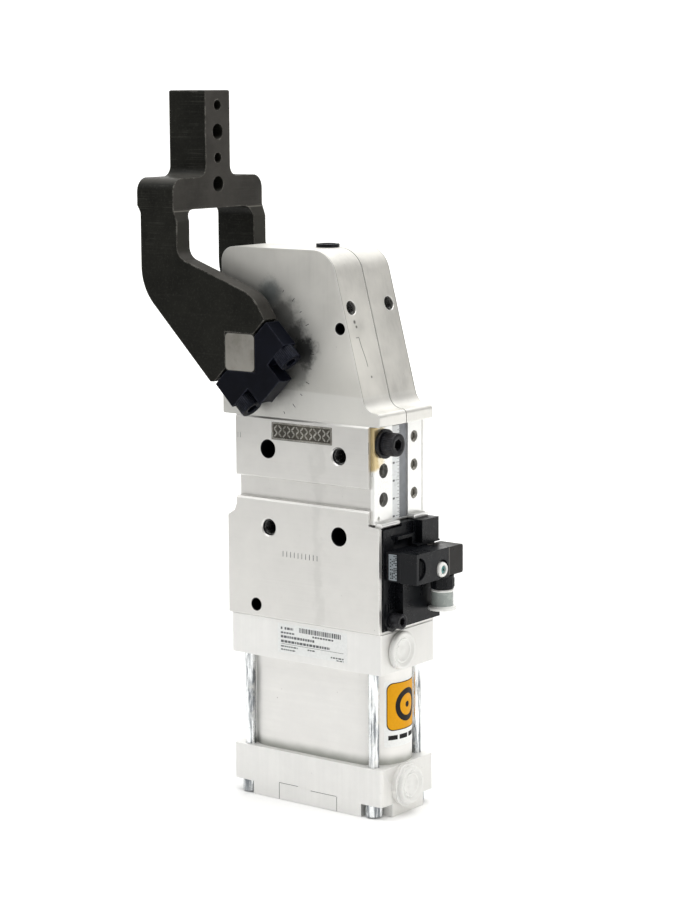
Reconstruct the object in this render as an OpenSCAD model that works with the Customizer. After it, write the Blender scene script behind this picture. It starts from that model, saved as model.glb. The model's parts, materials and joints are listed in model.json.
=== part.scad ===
// Pneumatic power clamp with a fork arm.
// +Z is up, -Y and +Y are the two mounting sides, +X is the sensor and port side.
// The origin is on the piston axis, in the middle of the base's underside.

/* [Cylinder] */
// Length of the base and the cylinder cover along X
cyl_x = 106.6; // [104:0.1:110]
// Thickness of the base and the cylinder cover along Y
cyl_y = 50; // [49:0.1:51.4]
// Height of the base
base_h = 28.6; // [24:0.1:32]
// Length of the cylinder tube between base and cover
tube_h = 54.3; // [54.3:0.1:60]
// Height of the cylinder cover
cover_h = 22.9; // [20:0.1:26]
// Radius of the round ends of the flat-oval bore
bore_r = 17.5; // [17:0.1:18]
// Distance of the round ends' axes from the middle of the bore
bore_cx = 31; // [30:0.5:31.5]
// Wall of the cylinder tube
tube_wall = 3; // [2.4:0.1:3]
// Diameter of the tie rods
tie_d = 6; // [5:0.5:6]
// Diameter of the piston rod
rod_d = 20; // [16:1:20]

/* [Housing] */
// Thickness of the housing block along Y
block_y = 52; // [51:0.1:54]
// Height of the housing block
block_h = 115.7; // [114:0.1:118]
// Width of the cross keyway in the mounting sides
key_w = 12; // [10:0.5:12]
// Depth of the cross keyway
key_depth = 4; // [3:0.5:5]
// Hole spacing along X in the mounting sides
side_pitch_x = 50; // [50:1:50]
// Hole spacing along Z in the mounting sides
side_pitch_z = 45; // [45:1:45]
// Diameter of the mounting dowel bores
side_hole_d = 10; // [8:0.5:10]
// Core diameter of the mounting threads
side_thread_d = 8.5; // [6.8:0.1:8.6]
// Depth of the mounting holes
side_hole_depth = 12; // [8:0.5:12]

/* [Clamp head] */
// Thickness of the two head halves together
head_y = 50; // [48:0.1:51]
// Height of the clamp head
head_h = 95; // [95:0.1:98]
// Diameter of the shaft journals
shaft_d = 30; // [28:0.5:30]
// Width across flats of the shaft's square ends
square_w = 21.5; // [18:0.1:21.5]
// Crank radius from the shaft axis to the crank pin
crank_r = 28; // [28:1:28]

/* [Fork arm] */
// Width over the two legs
fork_y = 79.6; // [79.6:0.1:84]
// Gap between the two legs
fork_gap = 58; // [56:0.1:59]
// Width of the mounting post
post_y = 21.5; // [20:0.1:24]
// Depth of the mounting post
post_x = 27.2; // [24:0.1:28]
// Pitch of the holes in the post
post_pitch = 15; // [15:0.5:15]
// Diameter of the post's screw holes
post_screw_d = 9; // [8:0.5:10]
// Diameter of the post's dowel bores
post_dowel_d = 6; // [5:0.5:8]

/* [Hidden] */
$fn = 72;

// levels along Z
tube_z0 = base_h;
cover_z0 = tube_z0 + tube_h;
block_z0 = cover_z0 + cover_h;
block_z1 = block_z0 + block_h;
head_z0 = block_z1;
head_z1 = head_z0 + head_h;

// sloping side of the clamp head
flange_h = 7.5;
slope_x0 = 42.9;
slope_x1 = 19.5;
slope_a = atan((head_h - flange_h) / (slope_x0 - slope_x1));
slope_hole_h = 63.8;

// shaft axis and crank
shaft_x = -33.4;
shaft_z = head_z0 + 37.4;
crank_a = -45;
crank_x = shaft_x + crank_r * cos(crank_a);
crank_z = shaft_z + crank_r * sin(crank_a);

// rod travel for the quarter turn of the arm, 25.9 mm per radian
rod_per_rad = 25.9;
rod_travel = rod_per_rad * PI / 2;
slot_z = shaft_z - rod_travel / 2;
roller_r = 8;
roller_bore = 10;
slot_half = 8.7;
cross_half = 14.2;
guide_x = 16;
guide_r = 3.5;
guide_axle_r = 1.8;
cross_y = 9;
rod_top = slot_z - cross_half - 12;

// piston
piston_h = 11.8;
piston_z0 = tube_z0 + 1;

// tie rods
tie_x = 44.3;
tie_y = 20;

// housing block
low_x0 = -54.8;
low_x1 = 52.6;
up_x0 = -48.4;
up_x1 = 45.5;
step_z = block_z0 + 60.5;
key_z = step_z + 14.4;
hole_z0 = step_z - 7.85;
hole_z1 = hole_z0 + side_pitch_z;
cav_y = 13;

// ports
port_r = 5.9;
port_up = [-8, cover_z0 + 12.1];
port_low = [-4, 17];

// guide plate on the +X side
plate_x = up_x1;
plate_t = 2.7;
plate_half = 24;
row_z = [step_z + 14, step_z + 30, step_z + 46];
left_y = -15.6;
right_y = 13.2;
stop_z = row_z[2] - 0.8;
lip_z = step_z - 1;
lip_y = -6.2;

// sensor cassette
pocket_x = 48;
sens_x = 53.5;
sens_x2 = 59.5;
conn_x = 75;
conn_z0 = block_z0 + 30.2;
conn_z1 = conn_z0 + 17;
lug = [-16.5, block_z0 + 7.6];
m12 = [68, 12.7];

// fork arm
post_x0 = -108.1;
post_x1 = post_x0 + post_x;
arm_z1 = shaft_z + 144.4;
bridge_z0 = shaft_z + 77.3;
bridge_z1 = bridge_z0 + 18;
post_hole_z = bridge_z1 - 4.45;
leg_step = 2.5;
leg_t = (fork_y - fork_gap) / 2;
leg_y = (fork_y + fork_gap) / 4;
split_gap = 0.8;
cap_u = 26.2;
cap_v = 30;
seat_v = 18;
screw_u = 19.8;

// ---- helpers ----

function unit2(v) = v / norm(v);

// points of a corner at p between a and b, rounded with radius r
function corner(a, p, b, r, n) =
    let (u1 = unit2(a - p), u2 = unit2(b - p), half = acos(u1 * u2) / 2)
    let (c = p + unit2(u1 + u2) * r / sin(half), t = r / tan(half))
    let (s = p + u1 * t - c, e = p + u2 * t - c)
    let (a0 = atan2(s[1], s[0]), a1 = atan2(e[1], e[0]))
    let (d = (a1 - a0 + 900) % 360 - 180)
    [for (i = [0:n]) c + r * [cos(a0 + d * i / n), sin(a0 + d * i / n)]];

// outline with a radius at each point [x, y, r]
function rounded(p, n = 10) = [
    for (i = [0:len(p) - 1])
        let (q = p[i], a = p[(i + len(p) - 1) % len(p)], b = p[(i + 1) % len(p)])
        each q[2] == 0 ? [[q[0], q[1]]]
            : corner([a[0], a[1]], [q[0], q[1]], [b[0], b[1]], q[2], n)
];

// extrudes an XZ outline from y0 to y1
module along_y(y0, y1) {
    translate([0, y1, 0])
        rotate([90, 0, 0])
            linear_extrude(y1 - y0)
                children();
}

// extrudes a YZ outline from x0 to x1
module along_x(x0, x1) {
    translate([x0, 0, 0])
        rotate([90, 0, 90])
            linear_extrude(x1 - x0)
                children();
}

// cylinder along X from x0 to x1
module rod_x(x0, x1, y, z, r) {
    translate([x0, y, z])
        rotate([0, 90, 0])
            cylinder(h = x1 - x0, r = r);
}

// cylinder along Y from y0 to y1
module rod_y(y0, y1, x, z, r) {
    translate([x, y0, z])
        rotate([-90, 0, 0])
            cylinder(h = y1 - y0, r = r);
}

// cylinder along Z from z0 to z1
module rod_z(z0, z1, x, y, r) {
    translate([x, y, z0])
        cylinder(h = z1 - z0, r = r);
}

// box between two corners
module slab(a, b) {
    translate(a)
        cube(b - a);
}

// flat-oval outline with end radius r
module oval(r) {
    for (s = [-1, 1])
        translate([s * bore_cx, 0])
            circle(r);
    square([2 * bore_cx, 2 * r], center = true);
}

// flat-oval ring between radii r0 and r1
module oval_ring(z0, z1, r0, r1) {
    translate([0, 0, z0])
        linear_extrude(z1 - z0)
            difference() {
                oval(r1);
                oval(r0);
            }
}

// socket cap screw standing on z = 0: head below it, shank above it
module cap_screw(d, head_d, head_h, shank) {
    difference() {
        union() {
            translate([0, 0, -head_h])
                cylinder(h = head_h, d = head_d);
            cylinder(h = shank, d = d);
        }
        translate([0, 0, -head_h - 1])
            cylinder(h = head_h * 0.55 + 1, d = d * 0.98, $fn = 6);
    }
}

// ---- cylinder ----

module base_cover() {
    color("gainsboro")
        difference() {
            union() {
                linear_extrude(base_h)
                    polygon(rounded([
                        [-cyl_x / 2, -cyl_y / 2, 2.5], [cyl_x / 2, -cyl_y / 2, 2.5],
                        [cyl_x / 2, cyl_y / 2, 2.5], [-cyl_x / 2, cyl_y / 2, 2.5]
                    ], 6));
                rod_x(cyl_x / 2 - 4, cyl_x / 2 + 2.5, port_low[0], port_low[1], 11.5);
            }
            for (sx = [-1, 1], sy = [-1, 1])
                translate([sx * 46.3, sy * 20.2, 3.4])
                    cube([15.2, 11, 8.2], center = true);
            for (sx = [-1, 1], sy = [-1, 1])
                rod_z(0, base_h + 1, sx * tie_x, sy * tie_y, tie_d / 2 + 0.15);
            rod_x(22, cyl_x / 2 + 3, port_low[0], port_low[1], port_r);
            rod_z(port_low[1], base_h + 1, 25, port_low[0], 2.5);
            oval_ring(base_h - 1.3, base_h + 1, bore_r + 0.8, bore_r + 2.2);
        }
}

module cylinder_tube() {
    color("silver")
        oval_ring(tube_z0, cover_z0, bore_r, bore_r + tube_wall);
}

module tube_seals() {
    color([0.1, 0.1, 0.1]) {
        oval_ring(base_h - 1.25, base_h - 0.02, bore_r + 0.85, bore_r + 2.15);
        oval_ring(cover_z0 + 0.02, cover_z0 + 1.25, bore_r + 0.85, bore_r + 2.15);
    }
}

module tie_rods() {
    color("lightsteelblue")
        for (sx = [-1, 1], sy = [-1, 1])
            translate([sx * tie_x, sy * tie_y, 7.5])
                cap_screw(tie_d, 10, 6.9, cover_z0 + 16 - 7.5);
}

module cylinder_cover() {
    color("whitesmoke")
        difference() {
            translate([0, 0, cover_z0])
                linear_extrude(cover_h)
                    polygon(rounded([
                        [-cyl_x / 2, -25.4, 1], [cyl_x / 2, -25.4, 1],
                        [cyl_x / 2, 25.4, 1], [-cyl_x / 2, 25.4, 1]
                    ], 4));
            rod_z(cover_z0 - 1, block_z0 + 1, 0, 0, rod_d / 2 + 0.5);
            rod_z(cover_z0 + 3, block_z0 + 1, 0, 0, 14);
            for (sx = [-1, 1], sy = [-1, 1])
                rod_z(cover_z0 - 1, cover_z0 + 17, sx * tie_x, sy * tie_y, tie_d / 2 + 0.1);
            rod_x(24, cyl_x / 2 + 1, port_up[0], port_up[1], port_r);
            rod_z(cover_z0 - 1, port_up[1], 27, port_up[0], 2.5);
            cover_screw_places() {
                cylinder(h = 60, d = 6.2);
                translate([0, 0, -7])
                    cylinder(h = 7, d = 10.6);
            }
            oval_ring(cover_z0 - 1, cover_z0 + 1.3, bore_r + 0.8, bore_r + 2.2);
        }
}

// the three screws that hold the cylinder cover under the housing block
module cover_screw_places() {
    for (p = [[-36, -9], [-36, 9], [36, 4.5]])
        translate([p[0], p[1], cover_z0 + 6.4])
            children();
}

module cover_screws() {
    color("dimgray")
        cover_screw_places()
            cap_screw(6, 10, 6, 26);
}

module rod_bush() {
    color("peru")
        difference() {
            rod_z(cover_z0 + 3.05, cover_z0 + 13, 0, 0, 14);
            rod_z(cover_z0, block_z0, 0, 0, rod_d / 2 + 0.04);
        }
}

module rod_seal() {
    color([0.12, 0.12, 0.12])
        difference() {
            rod_z(cover_z0 + 13.05, cover_z0 + 18, 0, 0, 13.95);
            rod_z(cover_z0, block_z0, 0, 0, rod_d / 2 + 0.08);
        }
}

module rod_wiper() {
    color([0.15, 0.15, 0.15])
        difference() {
            rod_z(cover_z0 + 18.05, block_z0 - 0.05, 0, 0, 13.95);
            rod_z(cover_z0, block_z0 + 1, 0, 0, rod_d / 2 + 0.08);
        }
}

// ---- housing block ----

module housing_block() {
    color("whitesmoke")
        difference() {
            along_y(-block_y / 2, block_y / 2)
                polygon(rounded([
                    [low_x0, block_z0, 0], [low_x1, block_z0, 0], [low_x1, step_z - 1, 1],
                    [up_x1, step_z, 0], [up_x1, block_z1, 0], [up_x0, block_z1, 0],
                    [up_x0, step_z + 4, 1], [up_x0 - 1.6, step_z - 0.2, 1],
                    [low_x0, step_z - 3.2, 1]
                ], 4));
            // bright edge chamfers under the clamp head and at the foot
            for (s = [-1, 1])
                translate([0, s * block_y / 2, block_z1])
                    rotate([45, 0, 0])
                        cube([140, 1.3, 1.3], center = true);
            for (s = [-1, 1])
                translate([0, s * block_y / 2, block_z0])
                    rotate([45, 0, 0])
                        cube([140, 0.9, 0.9], center = true);
            // cavity for the piston rod and the switch cam
            slab([-24, -cav_y, block_z0 - 1], [38, cav_y, step_z + 12]);
            slab([-24, -cav_y, step_z + 11], [22.2, cav_y, block_z1 + 1]);
            // windows of the two switches
            for (z = [block_z0 + 17, block_z0 + 52])
                rod_x(37, low_x1 + 1, 0, z, 6.2);
            // pocket of the sensor cassette
            slab([pocket_x, -23.4, block_z0 + 1.4], [low_x1 + 1, 23.4, step_z + 0.4]);
            rod_x(34, pocket_x + 1, lug[0], lug[1], 2.6);
            for (s = [-1, 1])
                side_machining(s);
            // tapped holes behind the guide plate
            for (z = [row_z[0], row_z[1], stop_z])
                rod_x(30, up_x1 + 1, left_y, z, 4);
            for (z = row_z)
                rod_x(34, up_x1 + 1, right_y, z, 2.6);
            for (p = [[-36, -9], [-36, 9]])
                rod_z(block_z0 - 1, block_z0 + 12, p[0], p[1], 3.1);
            rod_z(block_z0 - 1, block_z0 + 12, 36, 4.5, 3.1);
            nameplate_recess();
        }
}

// keyway, bores and threads of one mounting side
module side_machining(s) {
    y = s * block_y / 2;
    key_in = y - s * key_depth;
    along_x(low_x0 - 1, low_x1 + 1)
        polygon([
            [y + s, key_z - key_w / 2 - 2], [y - s, key_z - key_w / 2],
            [key_in, key_z - key_w / 2], [key_in, key_z + key_w / 2],
            [y - s * 0.6, key_z + key_w / 2], [y + s, key_z + key_w / 2 + 1.6]
        ]);
    for (p = side_dowels())
        side_bore(y, s, p, side_hole_d / 2);
    for (p = side_threads())
        side_bore(y, s, p, side_thread_d / 2);
    rod_y(min(y + s, y - s * 9), max(y + s, y - s * 9), -34.5, block_z0 + 7, 3.4);
}

// blind hole of radius r into the mounting side at height y
module side_bore(y, s, p, r) {
    y1 = y - s * side_hole_depth;
    rod_y(min(y + s, y1), max(y + s, y1), p[0], p[1], r);
}

function side_threads() = [
    [side_pitch_x / 2, hole_z1], [-side_pitch_x / 2, hole_z0]
];
function side_dowels() = [
    [-side_pitch_x / 2, hole_z1], [side_pitch_x / 2, hole_z0]
];

module nameplate_recess() {
    slab([-22.3, -block_y / 2 - 1, block_z1 - 12.4],
        [20.6, -block_y / 2 + 0.4, block_z1 - 2.2]);
}

// ---- clamp head ----

// side outline of the clamp head
function head_outline() = rounded([
    [-58.2, head_z0, 1], [52.5, head_z0, 0.8], [52.5, head_z0 + flange_h, 2.4],
    [slope_x0, head_z0 + flange_h, 9], [slope_x1, head_z1, 16], [-58.2, head_z1, 8.5]
], 14);

module head_shape(y0, y1) {
    // full outline, with a small step along the joint of the two halves
    s = y1 > 0.1 ? 1 : -1;
    along_y(s > 0 ? 0.45 : y0, s > 0 ? y1 : -0.45)
        polygon(head_outline());
    mid = [-8, head_z0 + 46];
    along_y(s > 0 ? 0 : -0.45, s > 0 ? 0.45 : 0)
        translate(mid)
            scale(0.991)
                translate(-mid)
                    polygon(head_outline());
}

// room for the crank, the crosshead and its guides
module head_cavity() {
    along_y(-cav_y, cav_y)
        polygon([
            [-24, head_z0 - 1], [22.2, head_z0 - 1], [22.2, head_z0 + 67],
            [20, head_z0 + 69], [20, head_z0 + 74.5], [-44, head_z0 + 74.5],
            [-50.8, head_z0 + 68], [-50.8, head_z0 + 18], [-46, head_z0 + 15.6],
            [-24, head_z0 + 8]
        ]);
}

function head_screw_places() = [
    [-50.5, head_z0 + 87], [6.5, head_z0 + 85.5], [-49.5, head_z0 + 9], [31.5, head_z0 + 10.5]
];

// tapped hole square to the sloping face
module slope_hole(y) {
    along = (slope_hole_h - flange_h) / (head_h - flange_h);
    translate([slope_x0 + (slope_x1 - slope_x0) * along, y, head_z0 + slope_hole_h])
        rotate([0, slope_a, 0])
            translate([0, 0, -14])
                cylinder(h = 20, d = 8);
}

module head_half(s) {
    difference() {
        head_shape(s > 0 ? 0 : -head_y / 2, s > 0 ? head_y / 2 : 0);
        head_cavity();
        rod_y(-30, 30, shaft_x, shaft_z, 18);
        slope_hole(s * 17.5);
        rod_y(s > 0 ? 17 : -30, s > 0 ? 30 : -17, 25.7, head_z0 + 52.6, 3);
        rod_z(head_z1 - 9, head_z1 + 1, -1.5, 0, 6.05);
        for (p = head_screw_places()) {
            rod_y(-16, 18, p[0], p[1], s > 0 ? 3.2 : 3.05);
            if (s > 0)
                rod_y(17, 30, p[0], p[1], 5.3);
        }
    }
}

module head_half_near() {
    color("silver")
        head_half(-1);
}

module head_half_far() {
    color("silver")
        head_half(1);
}

module head_screws() {
    color("dimgray")
        for (p = head_screw_places())
            translate([p[0], 17, p[1]])
                rotate([90, 0, 0])
                    cap_screw(6, 10, 6, 32);
}

module head_plug() {
    color([0.2, 0.2, 0.2])
        difference() {
            union() {
                rod_z(head_z1 - 6, head_z1, -1.5, 0, 6);
                rod_z(head_z1, head_z1 + 2, -1.5, 0, 6.6);
            }
            rod_z(head_z1 + 0.8, head_z1 + 3, -1.5, 0, 4.4);
        }
}

module shaft_bushes() {
    color("goldenrod")
        for (s = [-1, 1])
            difference() {
                rod_y(s > 0 ? cav_y : -21, s > 0 ? 21 : -cav_y, shaft_x, shaft_z, 17.98);
                rod_y(-30, 30, shaft_x, shaft_z, shaft_d / 2 + 0.04);
            }
}

module shaft_seals() {
    color([0.13, 0.13, 0.13])
        for (s = [-1, 1])
            difference() {
                rod_y(s > 0 ? 21.1 : -24.8, s > 0 ? 24.8 : -21.1, shaft_x, shaft_z, 17.95);
                rod_y(-30, 30, shaft_x, shaft_z, shaft_d / 2 + 0.09);
            }
}

module guide_rails() {
    color("slategray")
        for (s = [-1, 1])
            translate([0, 0, head_z0 + 4])
                linear_extrude(62.5)
                    polygon([
                        for (p = [[9.95, 12.98], [22.1, 12.98], [22.1, 5.4], [19.85, 5.4],
                            [19.85, 10.9], [12.15, 10.9], [12.15, 5.4], [9.95, 5.4]])
                            [p[0], s * p[1]]
                    ]);
}

// ---- guide plate and stop on the +X side ----

module guide_plate() {
    color("gainsboro")
        difference() {
            union() {
                slab([plate_x + 0.02, -plate_half, step_z + 0.8],
                    [plate_x + plate_t, plate_half, block_z1 - 0.6]);
                // rounded lip below the scale side
                along_y(-23.2, lip_y)
                    polygon(rounded([
                        [pocket_x + 0.03, lip_z, 0.6], [low_x1, lip_z, 1.1],
                        [low_x1, lip_z + 2.6, 1.1], [pocket_x + 0.03, lip_z + 2.6, 0]
                    ], 4));
            }
            slab([plate_x + 0.9, -7.4, lip_z + 2.6], [plate_x + 6, 7.4, block_z1]);
            for (z = [row_z[0], row_z[1], stop_z])
                rod_x(plate_x - 1, plate_x + 4, left_y, z, 4.05);
            for (z = row_z)
                rod_x(plate_x - 1, plate_x + 4, right_y, z, 3.3);
            slab([plate_x + 2.1, 20.4, step_z], [plate_x + 4, 21.4, block_z1]);
            rod_x(plate_x + 1.4, plate_x + 4, -20.3, step_z + 4, 1.2);
        }
}

module guide_plate_screws() {
    color("gray")
        for (z = row_z)
            translate([plate_x + 0.04, right_y, z])
                rotate([0, -90, 0])
                    cap_screw(5, 6.4, 1.5, 9);
}

module scale_strip() {
    color("white")
        slab([plate_x + 0.92, -7.3, lip_z + 2.65], [plate_x + 2.3, -0.5, block_z1 - 1.4]);
}

module slot_strip() {
    color("dimgray")
        slab([plate_x + 0.92, -0.3, lip_z + 2.65], [plate_x + 1.5, 7.3, block_z1 - 1.4]);
}

module stop_screw() {
    color([0.12, 0.12, 0.12])
        translate([plate_x + plate_t + 2.3, left_y, stop_z])
            rotate([0, -90, 0])
                cap_screw(7.9, 13, 8, 20);
}

module stop_collar() {
    color([0.2, 0.2, 0.18])
        difference() {
            rod_x(plate_x + plate_t + 0.02, plate_x + plate_t + 2.25, left_y, stop_z, 8.2);
            rod_x(plate_x, plate_x + 12, left_y, stop_z, 4.05);
        }
}

// ---- sensor cassette ----

module sensor_housing() {
    color([0.13, 0.14, 0.16])
        difference() {
            union() {
                slab([pocket_x, -23, block_z0 + 1.8], [sens_x, 23, step_z - 1.8]);
                slab([sens_x - 1, -13, block_z0 + 4], [sens_x2, 22.3, conn_z0 + 18]);
                slab([sens_x - 1, -13, conn_z1], [sens_x + 2.6, 2.9, step_z - 6.4]);
                slab([sens_x - 1, 3.1, conn_z1 + 1], [sens_x + 1.4, 9.4, step_z + 0.2]);
                slab([pocket_x + 0.04, -6, step_z - 3], [sens_x, 9.4, step_z + 0.2]);
                slab([sens_x - 1, 5.3, conn_z1 + 1], [sens_x2, 21.2, step_z + 0.6]);
                slab([pocket_x + 0.3, 9.3, step_z - 3], [sens_x, 21.2, step_z + 0.6]);
                for (i = [0:3])
                    slab([sens_x - 1, -21.4 + 2.2 * i, block_z0 + 11],
                        [sens_x + 0.8, -20.3 + 2.2 * i, block_z0 + 17]);
                rod_x(sens_x - 1, sens_x + 1.6, lug[0], lug[1], 6.4);
            }
            // room for the lip of the guide plate
            slab([pocket_x - 1, -30, lip_z - 0.15], [sens_x + 0.1, lip_y + 0.15, step_z + 5]);
            rod_x(pocket_x - 1, sens_x2 + 1, lug[0], lug[1], 2.7);
            rod_x(sens_x + 1, sens_x2 + 1, lug[0], lug[1], 4.6);
            // trough above the connector
            rod_y(-13.6, 0.4, sens_x + 3, conn_z1 + 1.6, 3.6);
            // blind seats of the two switches
            for (z = [block_z0 + 17, block_z0 + 52])
                rod_x(pocket_x - 1, sens_x - 2, 0, z, 6.1);
            // room for the connector box
            slab([sens_x + 0.01, -30, conn_z0], [90, 9.1, conn_z1]);
            slab([sens_x + 2.4, 9, conn_z0], [90, 30, conn_z1]);
        }
}

module sensor_heads() {
    color("steelblue")
        for (z = [block_z0 + 17, block_z0 + 52])
            rod_x(40.5, sens_x - 2.05, 0, z, 6);
}

module sensor_screw() {
    color([0.16, 0.16, 0.16])
        translate([sens_x + 1.02, lug[0], lug[1]])
            rotate([0, -90, 0])
                cap_screw(5, 8.6, 7.4, 18);
}

module connector_box() {
    color([0.15, 0.16, 0.19])
        difference() {
            union() {
                slab([sens_x + 0.02, -21.6, conn_z0 + 0.4], [64, 8.6, conn_z1 - 0.4]);
                slab([63.9, -22, conn_z0 + 0.02], [conn_x, 9, conn_z1 - 0.02]);
            }
            // half-round recess and the lamp seat in the front
            intersection() {
                rod_x(conn_x - 3, conn_x + 1, -19.4, conn_z0 + 8.6, 6.3);
                slab([60, -19.4, conn_z0], [90, 0, conn_z1]);
            }
            rod_x(conn_x - 2, conn_x + 1, 2.7, conn_z0 + 5.6, 5.3);
        }
}

module connector_block() {
    color([0.17, 0.17, 0.17])
        along_x(sens_x2 - 1, conn_x - 1)
            polygon(rounded([
                [9.4, conn_z0 + 0.02, 0.8], [24.6, conn_z0 + 0.02, 1.2],
                [24.6, conn_z1 - 0.6, 1.2], [9.4, conn_z1 - 0.6, 0.8]
            ], 4));
}

module m12_socket() {
    color([0.18, 0.17, 0.16])
        difference() {
            union() {
                rod_z(conn_z0 - 7.4, conn_z0, m12[0], m12[1], 6.5);
                rod_z(conn_z0 - 15.6, conn_z0 - 7.3, m12[0], m12[1], 5.3);
                for (i = [0:11])
                    translate([m12[0], m12[1], conn_z0 - 4.1])
                        rotate([0, 0, 30 * i])
                            translate([6.45, 0, 0])
                                cube([0.7, 1.4, 5], center = true);
            }
            rod_z(conn_z0 - 17, conn_z0 - 9.5, m12[0], m12[1], 4.3);
        }
}

module lamp_ring() {
    color("white")
        difference() {
            rod_x(conn_x - 1.98, conn_x + 1.2, 2.7, conn_z0 + 5.6, 4.8);
            rod_x(conn_x - 3, conn_x + 2, 2.7, conn_z0 + 5.6, 2.3);
        }
}

module lamp_lens() {
    color("teal")
        rod_x(conn_x - 1.97, conn_x + 0.9, 2.7, conn_z0 + 5.6, 2.25);
}

module dust_cap() {
    color([0.75, 0.78, 0.76])
        difference() {
            union() {
                rod_z(conn_z0 - 17.8, conn_z0 - 7.9, m12[0], m12[1], 6.35);
                rod_z(conn_z0 - 19.6, conn_z0 - 17.8, m12[0], m12[1], 8.2);
            }
            rod_z(conn_z0 - 16.2, conn_z0 - 7, m12[0], m12[1], 5.35);
        }
}

// protective plug of an air port
module port_plug(x, p) {
    difference() {
        union() {
            rod_x(x, x + 3.8, p[0], p[1], 10.7);
            rod_x(x - 7, x + 1, p[0], p[1], port_r - 0.05);
        }
        rod_x(x + 1.6, x + 5, p[0], p[1], 6.4);
        rod_x(x - 5.8, x + 2, p[0], p[1], 4.4);
    }
}

module port_plug_upper() {
    color([0.93, 0.94, 0.92])
        port_plug(cyl_x / 2 + 0.05, port_up);
}

module port_plug_lower() {
    color([0.93, 0.94, 0.92])
        port_plug(cyl_x / 2 + 2.55, port_low);
}

// ---- shaft, arm and clamp caps ----

// square of the shaft ends
module square_outline(w, r) {
    polygon(rounded([
        [-w / 2, -w / 2, r], [w / 2, -w / 2, r], [w / 2, w / 2, r], [-w / 2, w / 2, r]
    ], 6));
}

// crank cheek from the hub to the pin, in the shaft's own plane
module cheek_outline() {
    circle(17);
    rotate([0, 0, crank_a]) {
        translate([crank_r, 0])
            circle(8);
        polygon([
            [5.2, 16], [crank_r + 2.4, 7.5], [crank_r + 2.4, -7.5], [5.2, -16]
        ]);
    }
}

module crank_shaft() {
    color("darkkhaki")
        difference() {
            union() {
                rod_y(-26.5, 26.5, shaft_x, shaft_z, shaft_d / 2);
                for (y = [[-fork_y / 2 - 0.1, -26], [26, fork_y / 2 + 0.1]])
                    translate([shaft_x, 0, shaft_z])
                        along_y(y[0], y[1])
                            square_outline(square_w, 2);
                for (y = [[-11.4, -5.2], [5.2, 11.4]])
                    translate([shaft_x, 0, shaft_z])
                        along_y(y[0], y[1])
                            cheek_outline();
            }
            // slim core between the cheeks
            difference() {
                rod_y(-5.2, 5.2, shaft_x, shaft_z, 20);
                rod_y(-6, 6, shaft_x, shaft_z, 11.5);
            }
            rod_y(-20, 20, crank_x, crank_z, roller_bore / 2);
        }
}

module crank_pin() {
    color("lightgray")
        rod_y(-11.4, 11.4, crank_x, crank_z, roller_bore / 2 - 0.01);
}

module crank_roller() {
    color("gray")
        difference() {
            rod_y(-4.2, 4.2, crank_x, crank_z, roller_r);
            rod_y(-6, 6, crank_x, crank_z, roller_bore / 2 + 0.04);
        }
}

// side outline of the fork arm: post, bridge step and the cranked leg
function arm_side() =
    let (s = shaft_x + shaft_z, k = sqrt(2))
    rounded([
        [post_x0, arm_z1, 1], [post_x0, bridge_z0 + 2.4, 1.5],
        [post_x0 + 2.4, bridge_z0 - 1.6, 1.5], [post_x0 + 2.4, s - 28 * k - post_x0 - 2.4, 30],
        [shaft_x - (28 + 2.6) / k, shaft_z - (28 - 2.6) / k, 0.6],
        [shaft_x - (26 + 0.8) / k, shaft_z - (26 - 0.8) / k, 0.6],
        [shaft_x + (26.2 - 0.8) / k, shaft_z + (26.2 + 0.8) / k, 0.6],
        [shaft_x + 9.3, shaft_z + 32.4, 22],
        [post_x1 + leg_step, shaft_z + 51.2, 8], [post_x1 + leg_step, bridge_z0 - 6.2, 1.5],
        [post_x1, bridge_z0 + 0.6, 1.5], [post_x1, arm_z1, 1]
    ], 10);

// front outline of the fork arm
function arm_front() = rounded([
    [-post_y / 2, arm_z1, 1], [-post_y / 2, bridge_z1, 6], [-fork_y / 2, bridge_z1, 8],
    [-fork_y / 2, shaft_z - 30, 0], [-fork_gap / 2, shaft_z - 30, 0],
    [-fork_gap / 2, bridge_z0, 5.5], [fork_gap / 2, bridge_z0, 5.5],
    [fork_gap / 2, shaft_z - 30, 0], [fork_y / 2, shaft_z - 30, 0],
    [fork_y / 2, bridge_z1, 8], [post_y / 2, bridge_z1, 6], [post_y / 2, arm_z1, 1]
], 10);

// places children in the plane of a clamp joint: X along the joint, Y towards the arm
module joint_frame(s) {
    translate([shaft_x, s * leg_y, shaft_z])
        rotate([90, 0, 0])
            rotate([0, 0, 45])
                children();
}

module fork_arm() {
    color([0.22, 0.22, 0.2])
        difference() {
            intersection() {
                along_y(-fork_y / 2, fork_y / 2)
                    polygon(arm_side());
                along_x(post_x0 - 1, 0)
                    polygon(arm_front());
            }
            translate([shaft_x, 0, shaft_z])
                along_y(-50, 50)
                    square(square_w, center = true);
            for (i = [0, 2])
                rod_x(post_x0 - 1, post_x1 + 1, 0, post_hole_z + i * post_pitch,
                    post_screw_d / 2);
            for (i = [1, 3])
                rod_x(post_x0 - 1, post_x1 + 1, 0, post_hole_z + i * post_pitch,
                    post_dowel_d / 2);
            for (s = [-1, 1], u = [-screw_u, screw_u])
                joint_frame(s)
                    translate([u, -3, 0])
                        rotate([-90, 0, 0])
                            cylinder(h = 18, d = 8.1);
        }
}

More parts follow.
